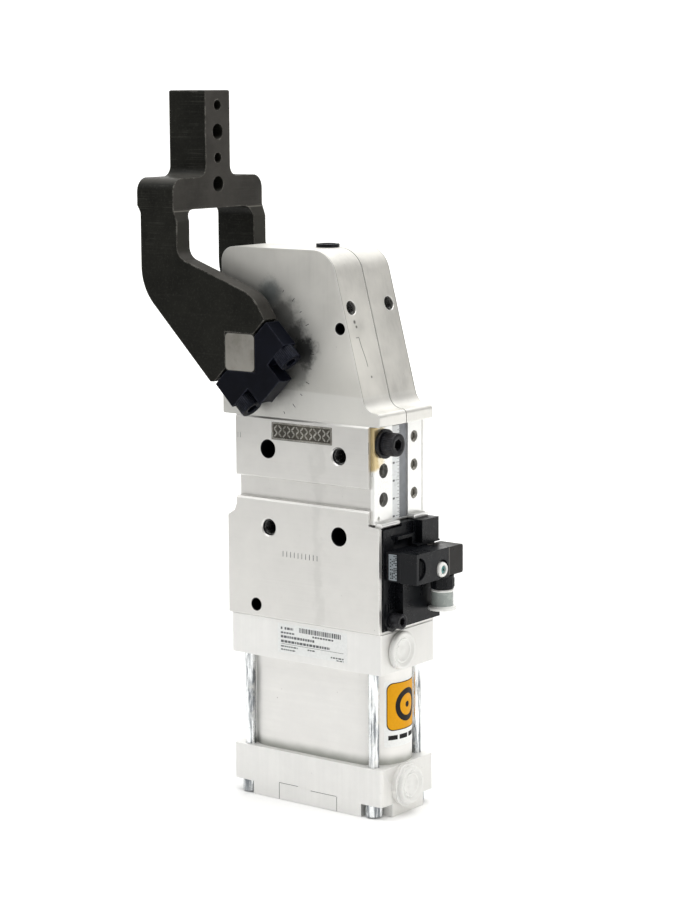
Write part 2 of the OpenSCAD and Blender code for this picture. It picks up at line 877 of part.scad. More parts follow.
module clamp_caps() {
    color([0.13, 0.14, 0.18])
        for (s = [-1, 1])
            joint_frame(s)
                difference() {
                    linear_extrude(leg_t, center = true)
                        polygon(rounded([
                            [-cap_u, -split_gap, 0.6], [cap_u, -split_gap, 0.6],
                            [cap_u, -cap_v, 5], [-cap_u, -cap_v, 5]
                        ], 5));
                    rotate([0, 0, 45])
                        cube([square_w, square_w, leg_t + 2], center = true);
                    for (u = [-screw_u, screw_u])
                        translate([u, 0, 0])
                            rotate([90, 0, 0]) {
                                cylinder(h = 40, d = 8.4);
                                translate([0, 0, seat_v])
                                    cylinder(h = 30, r = 11);
                            }
                }
}

module cap_screws() {
    color([0.12, 0.13, 0.17])
        for (s = [-1, 1], u = [-screw_u, screw_u])
            joint_frame(s)
                translate([u, -seat_v, 0])
                    rotate([-90, 0, 0])
                        cap_screw(8, 13, 8, 31);
}

// ---- piston, rod and crosshead ----

module piston_slice(z0, z1, r) {
    translate([0, 0, piston_z0 + z0])
        linear_extrude(z1 - z0)
            oval(r);
}

module piston() {
    color("lightgray")
        difference() {
            union() {
                piston_slice(0, 2, bore_r - 0.3);
                piston_slice(1.9, 4.1, bore_r - 2.6);
                piston_slice(4, 5, bore_r - 0.3);
                piston_slice(4.9, 7, bore_r - 1.4);
                piston_slice(6.9, 7.8, bore_r - 0.3);
                piston_slice(7.7, 9.9, bore_r - 2.6);
                piston_slice(9.8, piston_h, bore_r - 0.3);
            }
            rod_z(piston_z0 - 1, piston_z0 + 20, 0, 0, 4.1);
            rod_z(piston_z0 - 1, piston_z0 + 5.6, 0, 0, 7);
        }
}

module piston_seals() {
    color([0.1, 0.1, 0.1])
        for (z = [2.1, 7.95])
            oval_ring(piston_z0 + z, piston_z0 + z + 1.75, bore_r - 2.55, bore_r - 0.08);
}

module piston_band() {
    color("saddlebrown")
        oval_ring(piston_z0 + 5.05, piston_z0 + 6.85, bore_r - 1.35, bore_r - 0.1);
}

module piston_screw() {
    color("dimgray")
        translate([0, 0, piston_z0 + 5.6])
            cap_screw(8, 13, 5.4, 24);
}

module piston_rod() {
    color("silver")
        difference() {
            union() {
                rod_z(piston_z0 + piston_h, rod_top, 0, 0, rod_d / 2);
                rod_z(rod_top - 1, rod_top + 10, 0, 0, 6);
            }
            rod_z(piston_z0, piston_z0 + piston_h + 20, 0, 0, 4.1);
        }
}

module crosshead() {
    color("gray")
        difference() {
            union() {
                translate([0, 0, slot_z])
                    along_y(-cross_y / 2, cross_y / 2)
                        polygon(rounded([
                            [-19.3, -cross_half, 2], [19, -cross_half, 3],
                            [19, cross_half, 4], [-19.3, cross_half, 2],
                            [-19.3, slot_half, 1.5], [4.2, slot_half, 3],
                            [4.2, -slot_half, 3], [-19.3, -slot_half, 1.5]
                        ], 5));
                rod_z(rod_top, slot_z - cross_half + 0.5, 0, 0, 11);
            }
            rod_y(-10, 10, guide_x, slot_z, guide_axle_r + 0.02);
            rod_z(rod_top - 1, rod_top + 10.5, 0, 0, 6.02);
        }
}

module guide_axle() {
    color("lightgray")
        rod_y(-10.6, 10.6, guide_x, slot_z, guide_axle_r);
}

module guide_rollers() {
    color("gray")
        for (s = [-1, 1])
            difference() {
                rod_y(s > 0 ? 5.3 : -10.4, s > 0 ? 10.4 : -5.3, guide_x, slot_z, guide_r);
                rod_y(-20, 20, guide_x, slot_z, guide_axle_r + 0.04);
            }
}

module switch_cam() {
    color("burlywood")
        difference() {
            union() {
                rod_z(block_z0 + 12, block_z0 + 22, 0, 0, 12.4);
                slab([10, -4, block_z0 + 13], [36.5, 4, block_z0 + 21]);
            }
            rod_z(block_z0, block_z0 + 30, 0, 0, rod_d / 2 + 0.01);
        }
}

base_cover();
cylinder_tube();
tube_seals();
tie_rods();
cylinder_cover();
cover_screws();
rod_bush();
rod_seal();
rod_wiper();
housing_block();
head_half_near();
head_half_far();
head_screws();
head_plug();
shaft_bushes();
shaft_seals();
guide_rails();
guide_plate();
guide_plate_screws();
scale_strip();
slot_strip();
stop_screw();
stop_collar();
sensor_housing();
sensor_heads();
sensor_screw();
connector_box();
connector_block();
m12_socket();
lamp_ring();
lamp_lens();
dust_cap();
port_plug_upper();
port_plug_lower();
crank_shaft();
crank_pin();
fork_arm();
clamp_caps();
cap_screws();
crank_roller();
piston();
piston_seals();
piston_band();
piston_screw();
piston_rod();
crosshead();
guide_axle();
switch_cam();
guide_rollers();
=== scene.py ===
"""Looks of the pneumatic power clamp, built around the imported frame.

Lengths are in metres and every piece is made in the frame's own coordinates.
+Z is up along the piston rod, +X is the sensor and port side, -Y is the near mounting side.
"""
import math
import random

import bmesh
import bpy
from mathutils import Matrix, Vector
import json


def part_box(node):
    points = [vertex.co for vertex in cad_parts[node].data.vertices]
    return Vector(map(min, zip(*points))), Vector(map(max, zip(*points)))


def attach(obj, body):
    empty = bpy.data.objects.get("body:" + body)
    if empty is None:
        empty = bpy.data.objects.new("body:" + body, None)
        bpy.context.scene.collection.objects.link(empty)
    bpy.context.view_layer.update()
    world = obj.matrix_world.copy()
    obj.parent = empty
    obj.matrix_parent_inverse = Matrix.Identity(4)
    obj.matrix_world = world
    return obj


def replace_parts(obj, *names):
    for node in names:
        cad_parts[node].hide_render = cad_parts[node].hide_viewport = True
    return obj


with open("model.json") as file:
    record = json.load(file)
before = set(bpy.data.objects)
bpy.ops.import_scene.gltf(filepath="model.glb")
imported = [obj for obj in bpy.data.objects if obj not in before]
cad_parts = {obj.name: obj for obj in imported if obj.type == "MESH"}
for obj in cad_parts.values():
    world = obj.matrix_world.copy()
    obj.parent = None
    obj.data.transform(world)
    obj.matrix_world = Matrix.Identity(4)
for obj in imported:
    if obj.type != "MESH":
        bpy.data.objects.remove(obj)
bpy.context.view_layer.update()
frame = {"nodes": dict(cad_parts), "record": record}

MM = 0.001
SCENE = bpy.context.scene
NODES = frame["nodes"]
RECORD = frame["record"]
BODY = {n: body for body, names in RECORD["behaviour"]["bodies"].items() for n in names}
SLOT = {s["node"]: s["material_slot"] for s in RECORD["subparts"]}
MOUNTS = {m["name"]: m for m in RECORD["mounts"]}


# ---- camera and studio

AZIMUTH = math.radians(37.34)
ELEVATION = math.radians(8.92)
ROLL = math.radians(-0.3)
DISTANCE = 1.4645
AIM = Vector((-0.0403, 0.0587, 0.1849))
AWAY = Vector((-math.sin(AZIMUTH), math.cos(AZIMUTH), 0))
ACROSS = Vector((AWAY.y, -AWAY.x, 0))


def make_camera():
    data = bpy.data.cameras.new("camera")
    data.sensor_fit = "VERTICAL"
    data.sensor_width = data.sensor_height = 36
    data.lens = 98.33
    data.shift_y = 0.011
    data.clip_end = 20
    cam = bpy.data.objects.new("camera", data)
    SCENE.collection.objects.link(cam)
    back = Vector((
        math.sin(AZIMUTH) * math.cos(ELEVATION),
        -math.cos(AZIMUTH) * math.cos(ELEVATION),
        math.sin(ELEVATION),
    ))
    cam.location = AIM + back * DISTANCE
    look = (-back).to_track_quat("-Z", "Y").to_matrix()
    cam.rotation_euler = (look @ Matrix.Rotation(ROLL, 3, "Z")).to_euler()
    SCENE.camera = cam


def area_light(name, spot, size, power, colour=(1, 1, 1)):
    """A soft light that is turned to the middle of the clamp."""
    data = bpy.data.lights.new(name, "AREA")
    data.shape = "RECTANGLE"
    data.size, data.size_y = size
    data.energy = power
    data.color = colour
    lamp = bpy.data.objects.new(name, data)
    SCENE.collection.objects.link(lamp)
    lamp.location = spot
    target = Vector((0, 0, 0.2))
    lamp.rotation_euler = (target - Vector(spot)).to_track_quat("-Z", "Y").to_euler()


def make_studio():
    world = bpy.data.worlds.new("studio")
    SCENE.world = world
    world.use_nodes = True
    background = world.node_tree.nodes["Background"]
    background.inputs["Color"].default_value = (1.0, 1.0, 0.99, 1)
    background.inputs["Strength"].default_value = 0.34
    area_light("key", (-1.0, -0.7, 1.45), (1.1, 1.1), 7)
    area_light("side", (1.7, 0.1, 0.9), (1.0, 1.6), 10, (1.0, 0.97, 0.92))
    area_light("top", (0.15, 0.0, 1.7), (1.6, 1.6), 28)
    SCENE.view_settings.view_transform = "Standard"


def make_floor(material):
    """A floor that curves up into a backdrop behind the object."""
    front, bend, rise, half, height, sink = -2.2, 1.6, 1.2, 4.0, 4.0, 0.0002
    profile = [(front, 0.0), (0.0, 0.0), (bend, 0.0)]
    profile += [
        (bend + rise * math.sin(a), rise - rise * math.cos(a))
        for a in (math.radians(90) * i / 12 for i in range(1, 13))
    ]
    profile.append((bend + rise, height))
    bm = bmesh.new()
    rows = [
        [bm.verts.new(AWAY * d + ACROSS * s + Vector((0, 0, z - sink))) for s in (-half, half)]
        for d, z in profile
    ]
    for a, b in zip(rows, rows[1:]):
        bm.faces.new((a[0], a[1], b[1], b[0]))
    floor = mesh_object("floor", bm)
    floor.data.shade_smooth()
    floor.data.materials.append(material)


# ---- node graphs

M = {}


class Graph:
    """A small builder for one material's nodes. Its colour is painted layer by layer on base."""

    def __init__(self, name, colour, roughness, metallic=0.0, **sockets):
        self.material = bpy.data.materials.new(name)
        self.material.use_nodes = True
        self.material.diffuse_color = (*colour, 1)
        self.tree = self.material.node_tree
        self.bsdf = self.tree.nodes["Principled BSDF"]
        sockets.update({"Base Color": colour, "Roughness": roughness, "Metallic": metallic})
        for key, value in sockets.items():
            self.join(value, self.bsdf.inputs[key])
        texture = self.node("ShaderNodeTexCoord")
        self.coords, self.facing = texture.outputs["Object"], texture.outputs["Normal"]
        self.base = colour
        M[name] = self.material

    def node(self, kind, inputs=None, **settings):
        """Adds a node, with its settings and what its inputs are joined to."""
        n = self.tree.nodes.new(kind)
        for key, value in settings.items():
            setattr(n, key, value)
        for key, value in (inputs or {}).items():
            self.join(value, n.inputs[key])
        return n

    def join(self, source, socket):
        """Links an output to the socket, or sets a plain value on it."""
        if isinstance(source, bpy.types.NodeSocket):
            self.tree.links.new(source, socket)
        else:
            socket.default_value = (*source, 1) if socket.type == "RGBA" else source

    def stretch(self, scale, offset=(0, 0, 0)):
        inputs = {"Scale": scale, "Location": offset, "Vector": self.coords}
        return self.node("ShaderNodeMapping", inputs).outputs["Vector"]

    def noise(self, scale, detail=3.0, rough=0.55, vector=None, offset=(0, 0, 0)):
        inputs = {"Scale": scale, "Detail": detail, "Roughness": rough}
        inputs["Vector"] = vector or self.stretch((1, 1, 1), offset)
        return self.node("ShaderNodeTexNoise", inputs).outputs["Fac"]

    def specks(self, scale, size):
        """Small round spots, 1 inside and 0 outside."""
        n = self.node("ShaderNodeTexVoronoi", {"Scale": scale, "Vector": self.coords})
        return self.fall(n.outputs["Distance"], size * 0.5, size)

    def maths(self, operation, a, b=0.0, clamp=False):
        n = self.node("ShaderNodeMath", {0: a, 1: b}, operation=operation, use_clamp=clamp)
        return n.outputs[0]

    def sum(self, a, b):
        return self.maths("ADD", a, b)

    def product(self, *factors):
        total = factors[0]
        for factor in factors[1:]:
            total = self.maths("MULTIPLY", total, factor)
        return total

    def most(self, *values):
        total = values[0]
        for value in values[1:]:
            total = self.maths("MAXIMUM", total, value)
        return total

    def vector_maths(self, operation, a, b=(0, 0, 0), output="Value"):
        return self.node("ShaderNodeVectorMath", {0: a, 1: b}, operation=operation).outputs[output]

    def ramp(self, value, low, high):
        """Maps value between the two (input, output) pairs, held at both ends."""
        inputs = {"Value": value, "From Min": low[0], "From Max": high[0]}
        inputs.update({"To Min": low[1], "To Max": high[1]})
        n = self.node("ShaderNodeMapRange", inputs, clamp=True, interpolation_type="SMOOTHSTEP")
        return n.outputs["Result"]

    def rise(self, value, low, high, top=1.0):
        """0 up to low, then growing to top at high."""
        return self.ramp(value, (low, 0), (high, top))

    def fall(self, value, low, high, top=1.0):
        """top up to low, then fading to 0 at high."""
        return self.ramp(value, (low, top), (high, 0))

    def paint(self, colour, *factors, base=None):
        """Lays a colour over the base, as strongly as the product of the factors says."""
        inputs = {0: self.product(*factors), 6: base or self.base, 7: colour}
        self.base = self.node("ShaderNodeMix", inputs, data_type="RGBA").outputs[2]

    def part(self, axis):
        return self.node("ShaderNodeSeparateXYZ", {0: self.coords}).outputs[axis]

    def away(self, axis, middle=0.0):
        """Distance from the plane across an axis."""
        return self.maths("ABSOLUTE", self.maths("SUBTRACT", self.part(axis), middle))

    def along(self, direction):
        """Distance from the origin along a direction."""
        return self.vector_maths("DOT_PRODUCT", self.coords, direction)

    def turned(self, direction, low, high):
        """1 on faces of the object turned towards a direction, 0 on the others."""
        cosine = self.vector_maths("DOT_PRODUCT", self.facing, Vector(direction).normalized())
        return self.rise(cosine, low, high)

    def within(self, value, low, high, soft=0.0002):
        """1 where the value lies between low and high, 0 outside."""
        rise = self.rise(value, low - soft, low + soft)
        fall = self.fall(value, high - soft, high + soft)
        return self.product(rise, fall)

    def off_axis(self, point, axis=(0, 1, 0)):
        """Distance from the line through the point along the axis."""
        shift = self.vector_maths("SUBTRACT", self.coords, point, "Vector")
        return self.vector_maths("LENGTH", self.vector_maths("CROSS_PRODUCT", shift, axis, "Vector"))

    def bore(self, mouth, axis, radius):
        """1 on the wall and floor of a hole, 0 on the face round it."""
        wall = self.fall(self.off_axis(mouth, axis), radius + 0.0003, radius + 0.0005)
        face = mouth.dot(axis)
        deep = self.fall(self.along(axis), face - 0.0022, face - 0.0003)
        return self.product(wall, deep)

    def near(self, point, reach, core=0.0):
        """1 at the point, 0 further than reach away."""
        return self.fall(self.vector_maths("DISTANCE", self.coords, point), core, reach)

    def edges(self, radius=0.0009):
        """1 on the object's convex and concave edges, 0 on its faces."""
        bevel = self.node("ShaderNodeBevel", {"Radius": radius}, samples=4)
        plain = self.node("ShaderNodeNewGeometry").outputs["Normal"]
        cosine = self.vector_maths("DOT_PRODUCT", bevel.outputs["Normal"], plain)
        return self.fall(cosine, 0.9, 0.999)

    def finish(self, roughness, height, distance, strength):
        """Connects the painted base, the roughness and the bump to the shader."""
        inputs = {"Strength": strength, "Distance": distance, "Height": height}
        bump = self.node("ShaderNodeBump", inputs).outputs["Normal"]
        for key, value in (("Base Color", self.base), ("Roughness", roughness), ("Normal", bump)):
            self.join(value, self.bsdf.inputs[key])


# ---- measures for the materials

def middle_of(node):
    low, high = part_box(node)
    return (Vector(low) + Vector(high)) / 2


def mouth_of(name):
    """The mouth of a mount's hole, its outward axis and its radius."""
    m = MOUNTS[name]
    axis = Vector(m["axis"])
    return Vector(m["pos_m"]) + axis * m["dims"]["length_mm"] * MM / 2, axis, m["dims"]["r_mm"] * MM


SHAFT = middle_of("shaft_bushes")
HEAD_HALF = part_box("head_half_far")[1][1]
BLOCK_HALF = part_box("housing_block")[1][1]
BASE_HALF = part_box("base_cover")[1][1]
SHAFT_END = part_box("crank_shaft")[1][1]
ARM_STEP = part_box("fork_arm")[1][2] - 0.068
TUBE_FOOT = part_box("cylinder_tube")[0][2]
PLUG_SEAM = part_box("connector_box")[1][1]
INDEX_RADIUS = 0.0385
SQUARE_HALF, SQUARE_ROUND = 0.01075, 0.0028
SCRATCH_FOOT, SCRATCH_TOP = 0.2531, 0.2691
STAMPED_ROWS = ((0.1415, 0.147), (0.2065, 0.213))
OIL_RUN_X = 0.01
SMALL_HOLE_X, SMALL_HOLE_Z, SMALL_HOLE_RADIUS = -0.0345, 0.1128, 0.0034
OIL_LOW, OIL_HIGH = 0.1965, 0.1985
POCKET_LEFT, POCKET_RIGHT, POCKET_TOP = -0.0215, 0.0225, 0.012

# Near black, painted as the shade inside holes.
BORE_SHADE = (0.012, 0.012, 0.014)
STAMP_DARK = (0.1, 0.1, 0.1)

# Grease blots, with the arm's painted shadow along its edge, on a head's side: X and Z from the shaft's
# axis, core and reach, strength.
GREASE_AND_SHADE_BLOTS = (
    (0.033, 0.001, 0.004, 0.013, 0.92),
    (0.027, 0.011, 0.003, 0.012, 0.75),
    (0.02, 0.02, 0.004, 0.014, 0.6),
    (0.011, 0.03, 0.003, 0.013, 0.45),
    (0.028, -0.01, 0.003, 0.012, 0.55),
    (0.02, -0.022, 0.002, 0.013, 0.35),
)


# ---- dirt, wear, and painted light and shade, by place

def stamped(g, half):
    """1 inside shallow strokes that are cut into the two faces at half from the middle."""
    return g.within(g.away("Y"), half - 0.0004, half - 0.00006, 0.00003)


# Painted shade on the walls and floors of the holes, on both sides.
def paint_bore_shade(g, kinds):
    for side in ("near", "far"):
        for kind in kinds:
            g.paint(BORE_SHADE, g.bore(*mouth_of(f"{side}_{kind}")))


def slope_marks(g):
    """A long scratch with a hook, a pit, and two short drips under the hole of the sloping face."""
    x, y, z = (g.part(a) for a in "XYZ")
    path = g.ramp(z, (SCRATCH_FOOT, -0.014), (SCRATCH_TOP, -0.0163))
    offset = g.maths("ABSOLUTE", g.maths("SUBTRACT", y, path))
    scratch = g.product(
        g.fall(offset, 0.00012, 0.00035, 0.85),
        g.within(z, SCRATCH_FOOT, SCRATCH_TOP, 0.0006),
        g.rise(x, 0.018, 0.02),
    )
    hook_line = g.within(z, SCRATCH_TOP - 0.0002, SCRATCH_TOP + 0.0002)
    hook = g.product(hook_line, g.within(y, -0.019, -0.0162), 0.75)
    mouth = mouth_of("near_slope_thread")[0]
    drip = g.near(mouth + Vector((0.0018, 0.0002, -0.0078)), 0.0016, 0.0002)
    other = g.near(mouth + Vector((0.0026, 0.001, -0.0105)), 0.0012, 0.0002)
    pit = g.near((0.0385, -0.0125, 0.2475), 0.0011, 0.0004)
    return g.most(scratch, hook, drip, other, pit)


def head_soil_and_shade(g):
    """Grease and the arm's painted shade round the shaft, painted shade in the bores, painted light and
    shade on the side, dark stamps, and marks on the sloping side.
    """
    side = g.away("Y")
    on_side = g.rise(side, HEAD_HALF - 0.0012, HEAD_HALF - 0.0004)
    from_shaft = g.off_axis(SHAFT)
    # Painted shade of the arm on the side round the shaft, with grease.
    arm_shade_and_grease = g.fall(from_shaft, 0.024, 0.086, 0.62)
    g.paint((0.36, 0.36, 0.345), arm_shade_and_grease, on_side)
    tinted = g.off_axis((SHAFT.x + 0.01, 0, SHAFT.z + 0.033))
    g.paint((0.2, 0.27, 0.3), g.fall(tinted, 0.002, 0.01, 0.45), on_side)
    ragged = g.ramp(g.noise(130, 5, 0.7), (0.25, -0.004), (0.75, 0.004))
    # Grease blots, with the arm's painted shadow along its edge.
    blots = []
    for dx, dz, core, reach, strength in GREASE_AND_SHADE_BLOTS:
        away = g.sum(g.off_axis((SHAFT.x + dx, 0, SHAFT.z + dz)), ragged)
        blots.append(g.fall(away, core, reach, strength))
    g.paint((0.02, 0.021, 0.023), g.most(*blots), on_side)
    z = g.part("Z")
    # Darker towards the foot of the side.
    g.paint((0.46, 0.455, 0.42), g.fall(z, 0.241, 0.262, 0.3), on_side)
    # Painted lighter band below a slightly tilted line, where the flared foot of the side catches more
    # light.
    tilted = g.sum(z, g.product(g.part("X"), 0.02))
    g.paint((0.88, 0.88, 0.86), g.fall(tilted, 0.2372, 0.2386, 0.25))
    ring = g.within(from_shaft, INDEX_RADIUS - 0.0003, INDEX_RADIUS + 0.003)
    g.paint(STAMP_DARK, stamped(g, HEAD_HALF), ring)
    burr = g.within(side, HEAD_HALF - 0.00075, HEAD_HALF - 0.00042, 0.0001)
    g.paint((0.2, 0.18, 0.15), burr, g.rise(z, 0.231, 0.236, 0.6))
    g.paint((0.05, 0.05, 0.048), g.fall(side, 0.00016, 0.00045, 0.9))
    g.paint((0.1, 0.095, 0.085), slope_marks(g))
    paint_bore_shade(g, ("head_hole", "slope_thread"))


def block_soil_and_shade(g):
    """Painted shade in the bores, dirt in the stamped strokes, a faint darker column where oil has run,
    and a darker top.
    """
    wander = g.ramp(g.noise(60, 4, 0.6, offset=(9, 4, 2)), (0.25, -0.004), (0.75, 0.004))
    run = g.maths("ABSOLUTE", g.sum(g.maths("SUBTRACT", g.part("X"), OIL_RUN_X), wander))
    g.paint((0.4, 0.4, 0.38), g.fall(run, 0.001, 0.005, 0.17))
    z = g.part("Z")
    # Darker towards the top of the block.
    g.paint((0.42, 0.415, 0.4), g.rise(z, 0.198, 0.216, 0.2))
    rows = g.most(*(g.within(z, *row) for row in STAMPED_ROWS))
    g.paint(STAMP_DARK, stamped(g, BLOCK_HALF), rows)
    paint_bore_shade(g, ("dowel_upper", "dowel_lower", "thread_upper", "thread_lower"))
    for sign in (-1, 1):
        hole = Vector((SMALL_HOLE_X, sign * BLOCK_HALF, SMALL_HOLE_Z))
        g.paint(BORE_SHADE, g.bore(hole, Vector((0, sign, 0)), SMALL_HOLE_RADIUS))


def plate_soil(g):
    """A thin amber film of old oil round the stop screw."""
    wander = g.ramp(g.noise(180), (0.2, -0.001), (0.8, 0.001))
    y, z = g.sum(g.part("Y"), wander), g.sum(g.part("Z"), wander)
    high = g.rise(z, OIL_LOW, OIL_HIGH)
    g.paint((0.76, 0.66, 0.44), g.fall(y, -0.0165, -0.013), high, 0.75)
    g.paint((0.5, 0.36, 0.13), g.fall(y, -0.0215, -0.019), high, 0.7)


def arm_grain_and_light(g):
    """Coarse grain and tool lines, painted light on faces turned up and to the side lamp, and a painted
    step over each leg.
    """
    z = g.part("Z")
    grain = g.noise(750, 3, 0.75, offset=(1, 8, 3))
    g.paint((0.024, 0.024, 0.02), g.rise(grain, 0.5, 0.72, 0.75))
    patches = g.rise(g.noise(75, 4, 0.65, offset=(2, 2, 9)), 0.42, 0.62)
    tool = g.noise(1, 3, 0.6, g.stretch((25, 25, 1300)))
    upright = g.rise(z, ARM_STEP - 0.03, ARM_STEP - 0.015)
    g.paint((0.04, 0.04, 0.034), g.rise(tool, 0.48, 0.66, 0.5), patches, upright)
    # Painted light: faces turned up, and faces turned towards the side lamp, are lighter in patches.
    rubbed = g.ramp(g.noise(45, 4, 0.6), (0.3, 0.5), (0.7, 1.0))
    g.paint((0.06, 0.058, 0.052), g.turned((0, 0, 1), 0.5, 0.9), rubbed)
    g.paint((0.045, 0.042, 0.038), g.turned((1, 0, 0.45), 0.45, 0.85), rubbed)
    # A painted step over each leg: the legs' fronts below it darker, and a painted highlight along its
    # worn ledge.
    ahead = g.turned((1, 0, 0), 0.85, 0.97)
    leg = g.fall(z, ARM_STEP, ARM_STEP + 0.0006, 0.6)
    g.paint((0.02, 0.02, 0.016), ahead, leg)
    g.paint((0.13, 0.125, 0.11), ahead, g.within(z, ARM_STEP, ARM_STEP + 0.0006))
    scuffs = g.rise(g.noise(210, 4, 0.7), 0.48, 0.66, 0.9)
    g.paint((0.17, 0.165, 0.15), g.edges(0.0016), scuffs)


def shaft_stain_and_shade(g):
    """A stain on the square ends, and painted shade in the corners outside a rounded square."""
    stain = g.noise(75, 4, 0.6, offset=(4, 0, 6))
    g.paint((0.21, 0.2, 0.175), g.rise(stain, 0.52, 0.68, 0.6))
    inner = SQUARE_HALF - SQUARE_ROUND
    squares = []
    for axis, middle in (("X", SHAFT.x), ("Z", SHAFT.z)):
        beyond = g.most(g.maths("SUBTRACT", g.away(axis, middle), inner), 0.0)
        squares.append(g.product(beyond, beyond))
    reach = g.maths("SQRT", g.sum(*squares))
    # Painted shade in the corners, as in a gap round a rounded square.
    corner = g.rise(reach, SQUARE_ROUND - 0.0006, SQUARE_ROUND - 0.0002)
    on_end = g.rise(g.away("Y"), SHAFT_END - 0.0014, SHAFT_END - 0.0012, 0.93)
    g.paint((0.012, 0.012, 0.011), corner, on_end)


def cover_shade_and_lines(g):
    """Painted shade on the faces turned to the port side, and darker fine lines at the foot of the
    base.
    """
    # Painted shade on the faces turned towards +X.
    g.paint((0.56, 0.555, 0.53), g.turned((1, 0, 0), 0.6, 0.95), 0.3)
    depth = g.within(g.away("Y"), BASE_HALF - 0.0006, BASE_HALF - 0.00006, 0.00003)
    low = g.fall(g.part("Z"), POCKET_TOP - 0.0002, POCKET_TOP + 0.0002)
    middle = g.within(g.part("X"), POCKET_LEFT, POCKET_RIGHT)
    g.paint((0.2, 0.2, 0.19), depth, low, middle, 0.85)


def tube_foot_shade(g):
    """Painted shade along the foot of the tube, where it enters the base."""
    ragged = g.ramp(g.noise(90, 3, 0.5), (0.25, -0.0004), (0.75, 0.0004))
    level = g.sum(g.part("Z"), ragged)
    g.paint((0.27, 0.28, 0.25), g.fall(level, TUBE_FOOT + 0.0004, TUBE_FOOT + 0.0068, 0.8))


def plug_seam_shade(g):
    """Painted shade in the seam between the two halves of the sensor plug, with a painted highlight on
    the worn edge beside it.
    """
    y = g.part("Y")
    # Painted highlight beside the seam.
    g.paint((0.075, 0.07, 0.066), g.within(y, PLUG_SEAM + 0.0012, PLUG_SEAM + 0.0022, 0.0001))
    # Painted shade in the seam.
    g.paint((0.0008, 0.0008, 0.001), g.within(y, PLUG_SEAM - 0.0004, PLUG_SEAM + 0.001, 0.0001))


# ---- materials

def shade(colour, factor):
    return tuple(min(1.0, c * factor) for c in colour)


def milled(name, colour, roughness, brush, wear=0.1, cloud=0.07, metallic=0.85, soil_and_shade=None):
    """Milled aluminium or steel: fine tool lines, soft clouds, small nicks and bright edges."""
    g = Graph(name, colour, roughness, metallic)
    lines = g.noise(1, 4, 0.6, g.stretch(brush))
    clouds = g.noise(22, 4, 0.6)
    handling = g.noise(70, 5, 0.7, offset=(3, 1, 7))
    nicks = g.specks(260, 0.09)
    light = shade(colour, 1 + cloud)
    g.paint(light, g.rise(clouds, 0.3, 0.72), base=shade(colour, 1 - 2.2 * cloud))
    g.paint(light, g.rise(lines, 0.25, 0.75, 0.35))
    g.paint(shade(colour, 0.72), g.rise(handling, 0.6, 0.82, 0.22))
    g.paint(shade(colour, 0.35), nicks, g.rise(handling, 0.5, 0.7, 0.55))
    # Bright edges: wear, with a painted highlight along them.
    g.paint((0.97, 0.97, 0.96), g.maths("MULTIPLY", g.edges(), wear * 6, clamp=True))
    if soil_and_shade:
        soil_and_shade(g)
    spread = g.sum(g.product(lines, 0.16), roughness - 0.08)
    rough = g.sum(spread, g.ramp(clouds, (0.3, -0.04), (0.7, 0.06)))
    g.finish(rough, g.sum(g.product(lines, 0.35), g.product(nicks, -1.2)), 0.00006, 0.8)


def blasted(name, colour, roughness, lines, soil_and_shade):
    """Bright blasted aluminium of the cylinder's covers."""
    g = Graph(name, colour, roughness, 0.55)
    grain = g.noise(1500, 2, 0.6)
    cloud = g.noise(30, 5, 0.62)
    faint = g.noise(1, 3, 0.5, g.stretch(lines))
    pits = g.product(g.specks(150, 0.08), g.rise(cloud, 0.48, 0.66, 0.8))
    g.paint(colour, g.rise(cloud, 0.3, 0.75), base=shade(colour, 0.9))
    g.paint(shade(colour, 0.85), g.fall(faint, 0.35, 0.65, 0.18))
    g.paint((0.3, 0.29, 0.28), pits)
    g.paint((0.98, 0.98, 0.98), g.edges(0.0007), 0.5)
    soil_and_shade(g)
    rough = g.ramp(cloud, (0.3, roughness - 0.05), (0.7, roughness + 0.08))
    g.finish(rough, g.sum(grain, g.product(pits, -2.0)), 0.00004, 0.5)


def zinc(name):
    """Zinc-plated round steel with lengthways drawing marks and dull patches."""
    g = Graph(name, (0.7, 0.73, 0.76), 0.24, 1.0)
    streaks = g.noise(1, 5, 0.65, g.stretch((420, 420, 34)))
    patches = g.noise(140, 4, 0.7)
    g.paint((0.88, 0.9, 0.91), g.rise(streaks, 0.4, 0.56), base=(0.2, 0.215, 0.23))
    g.paint((0.82, 0.82, 0.78), g.rise(patches, 0.52, 0.7, 0.55))
    g.finish(g.ramp(patches, (0.35, 0.18), (0.72, 0.46)), streaks, 0.00005, 0.6)


def threads(name):
    """Oily screw threads, painted near black for the shade inside their holes, with painted glints on
    the crests.
    """
    g = Graph(name, (0.022, 0.022, 0.021), 0.24, 0.2)
    oil = g.noise(500, 3, 0.6)
    g.paint((0.03, 0.03, 0.028), g.rise(oil, 0.3, 0.7), base=(0.012, 0.012, 0.012))
    # Painted glints along the thread crests.
    g.paint((0.42, 0.42, 0.4), g.edges(0.00022), g.ramp(oil, (0.35, 0.3), (0.6, 1.0)))
    g.finish(g.ramp(oil, (0.3, 0.2), (0.7, 0.34)), oil, 0.00002, 0.4)


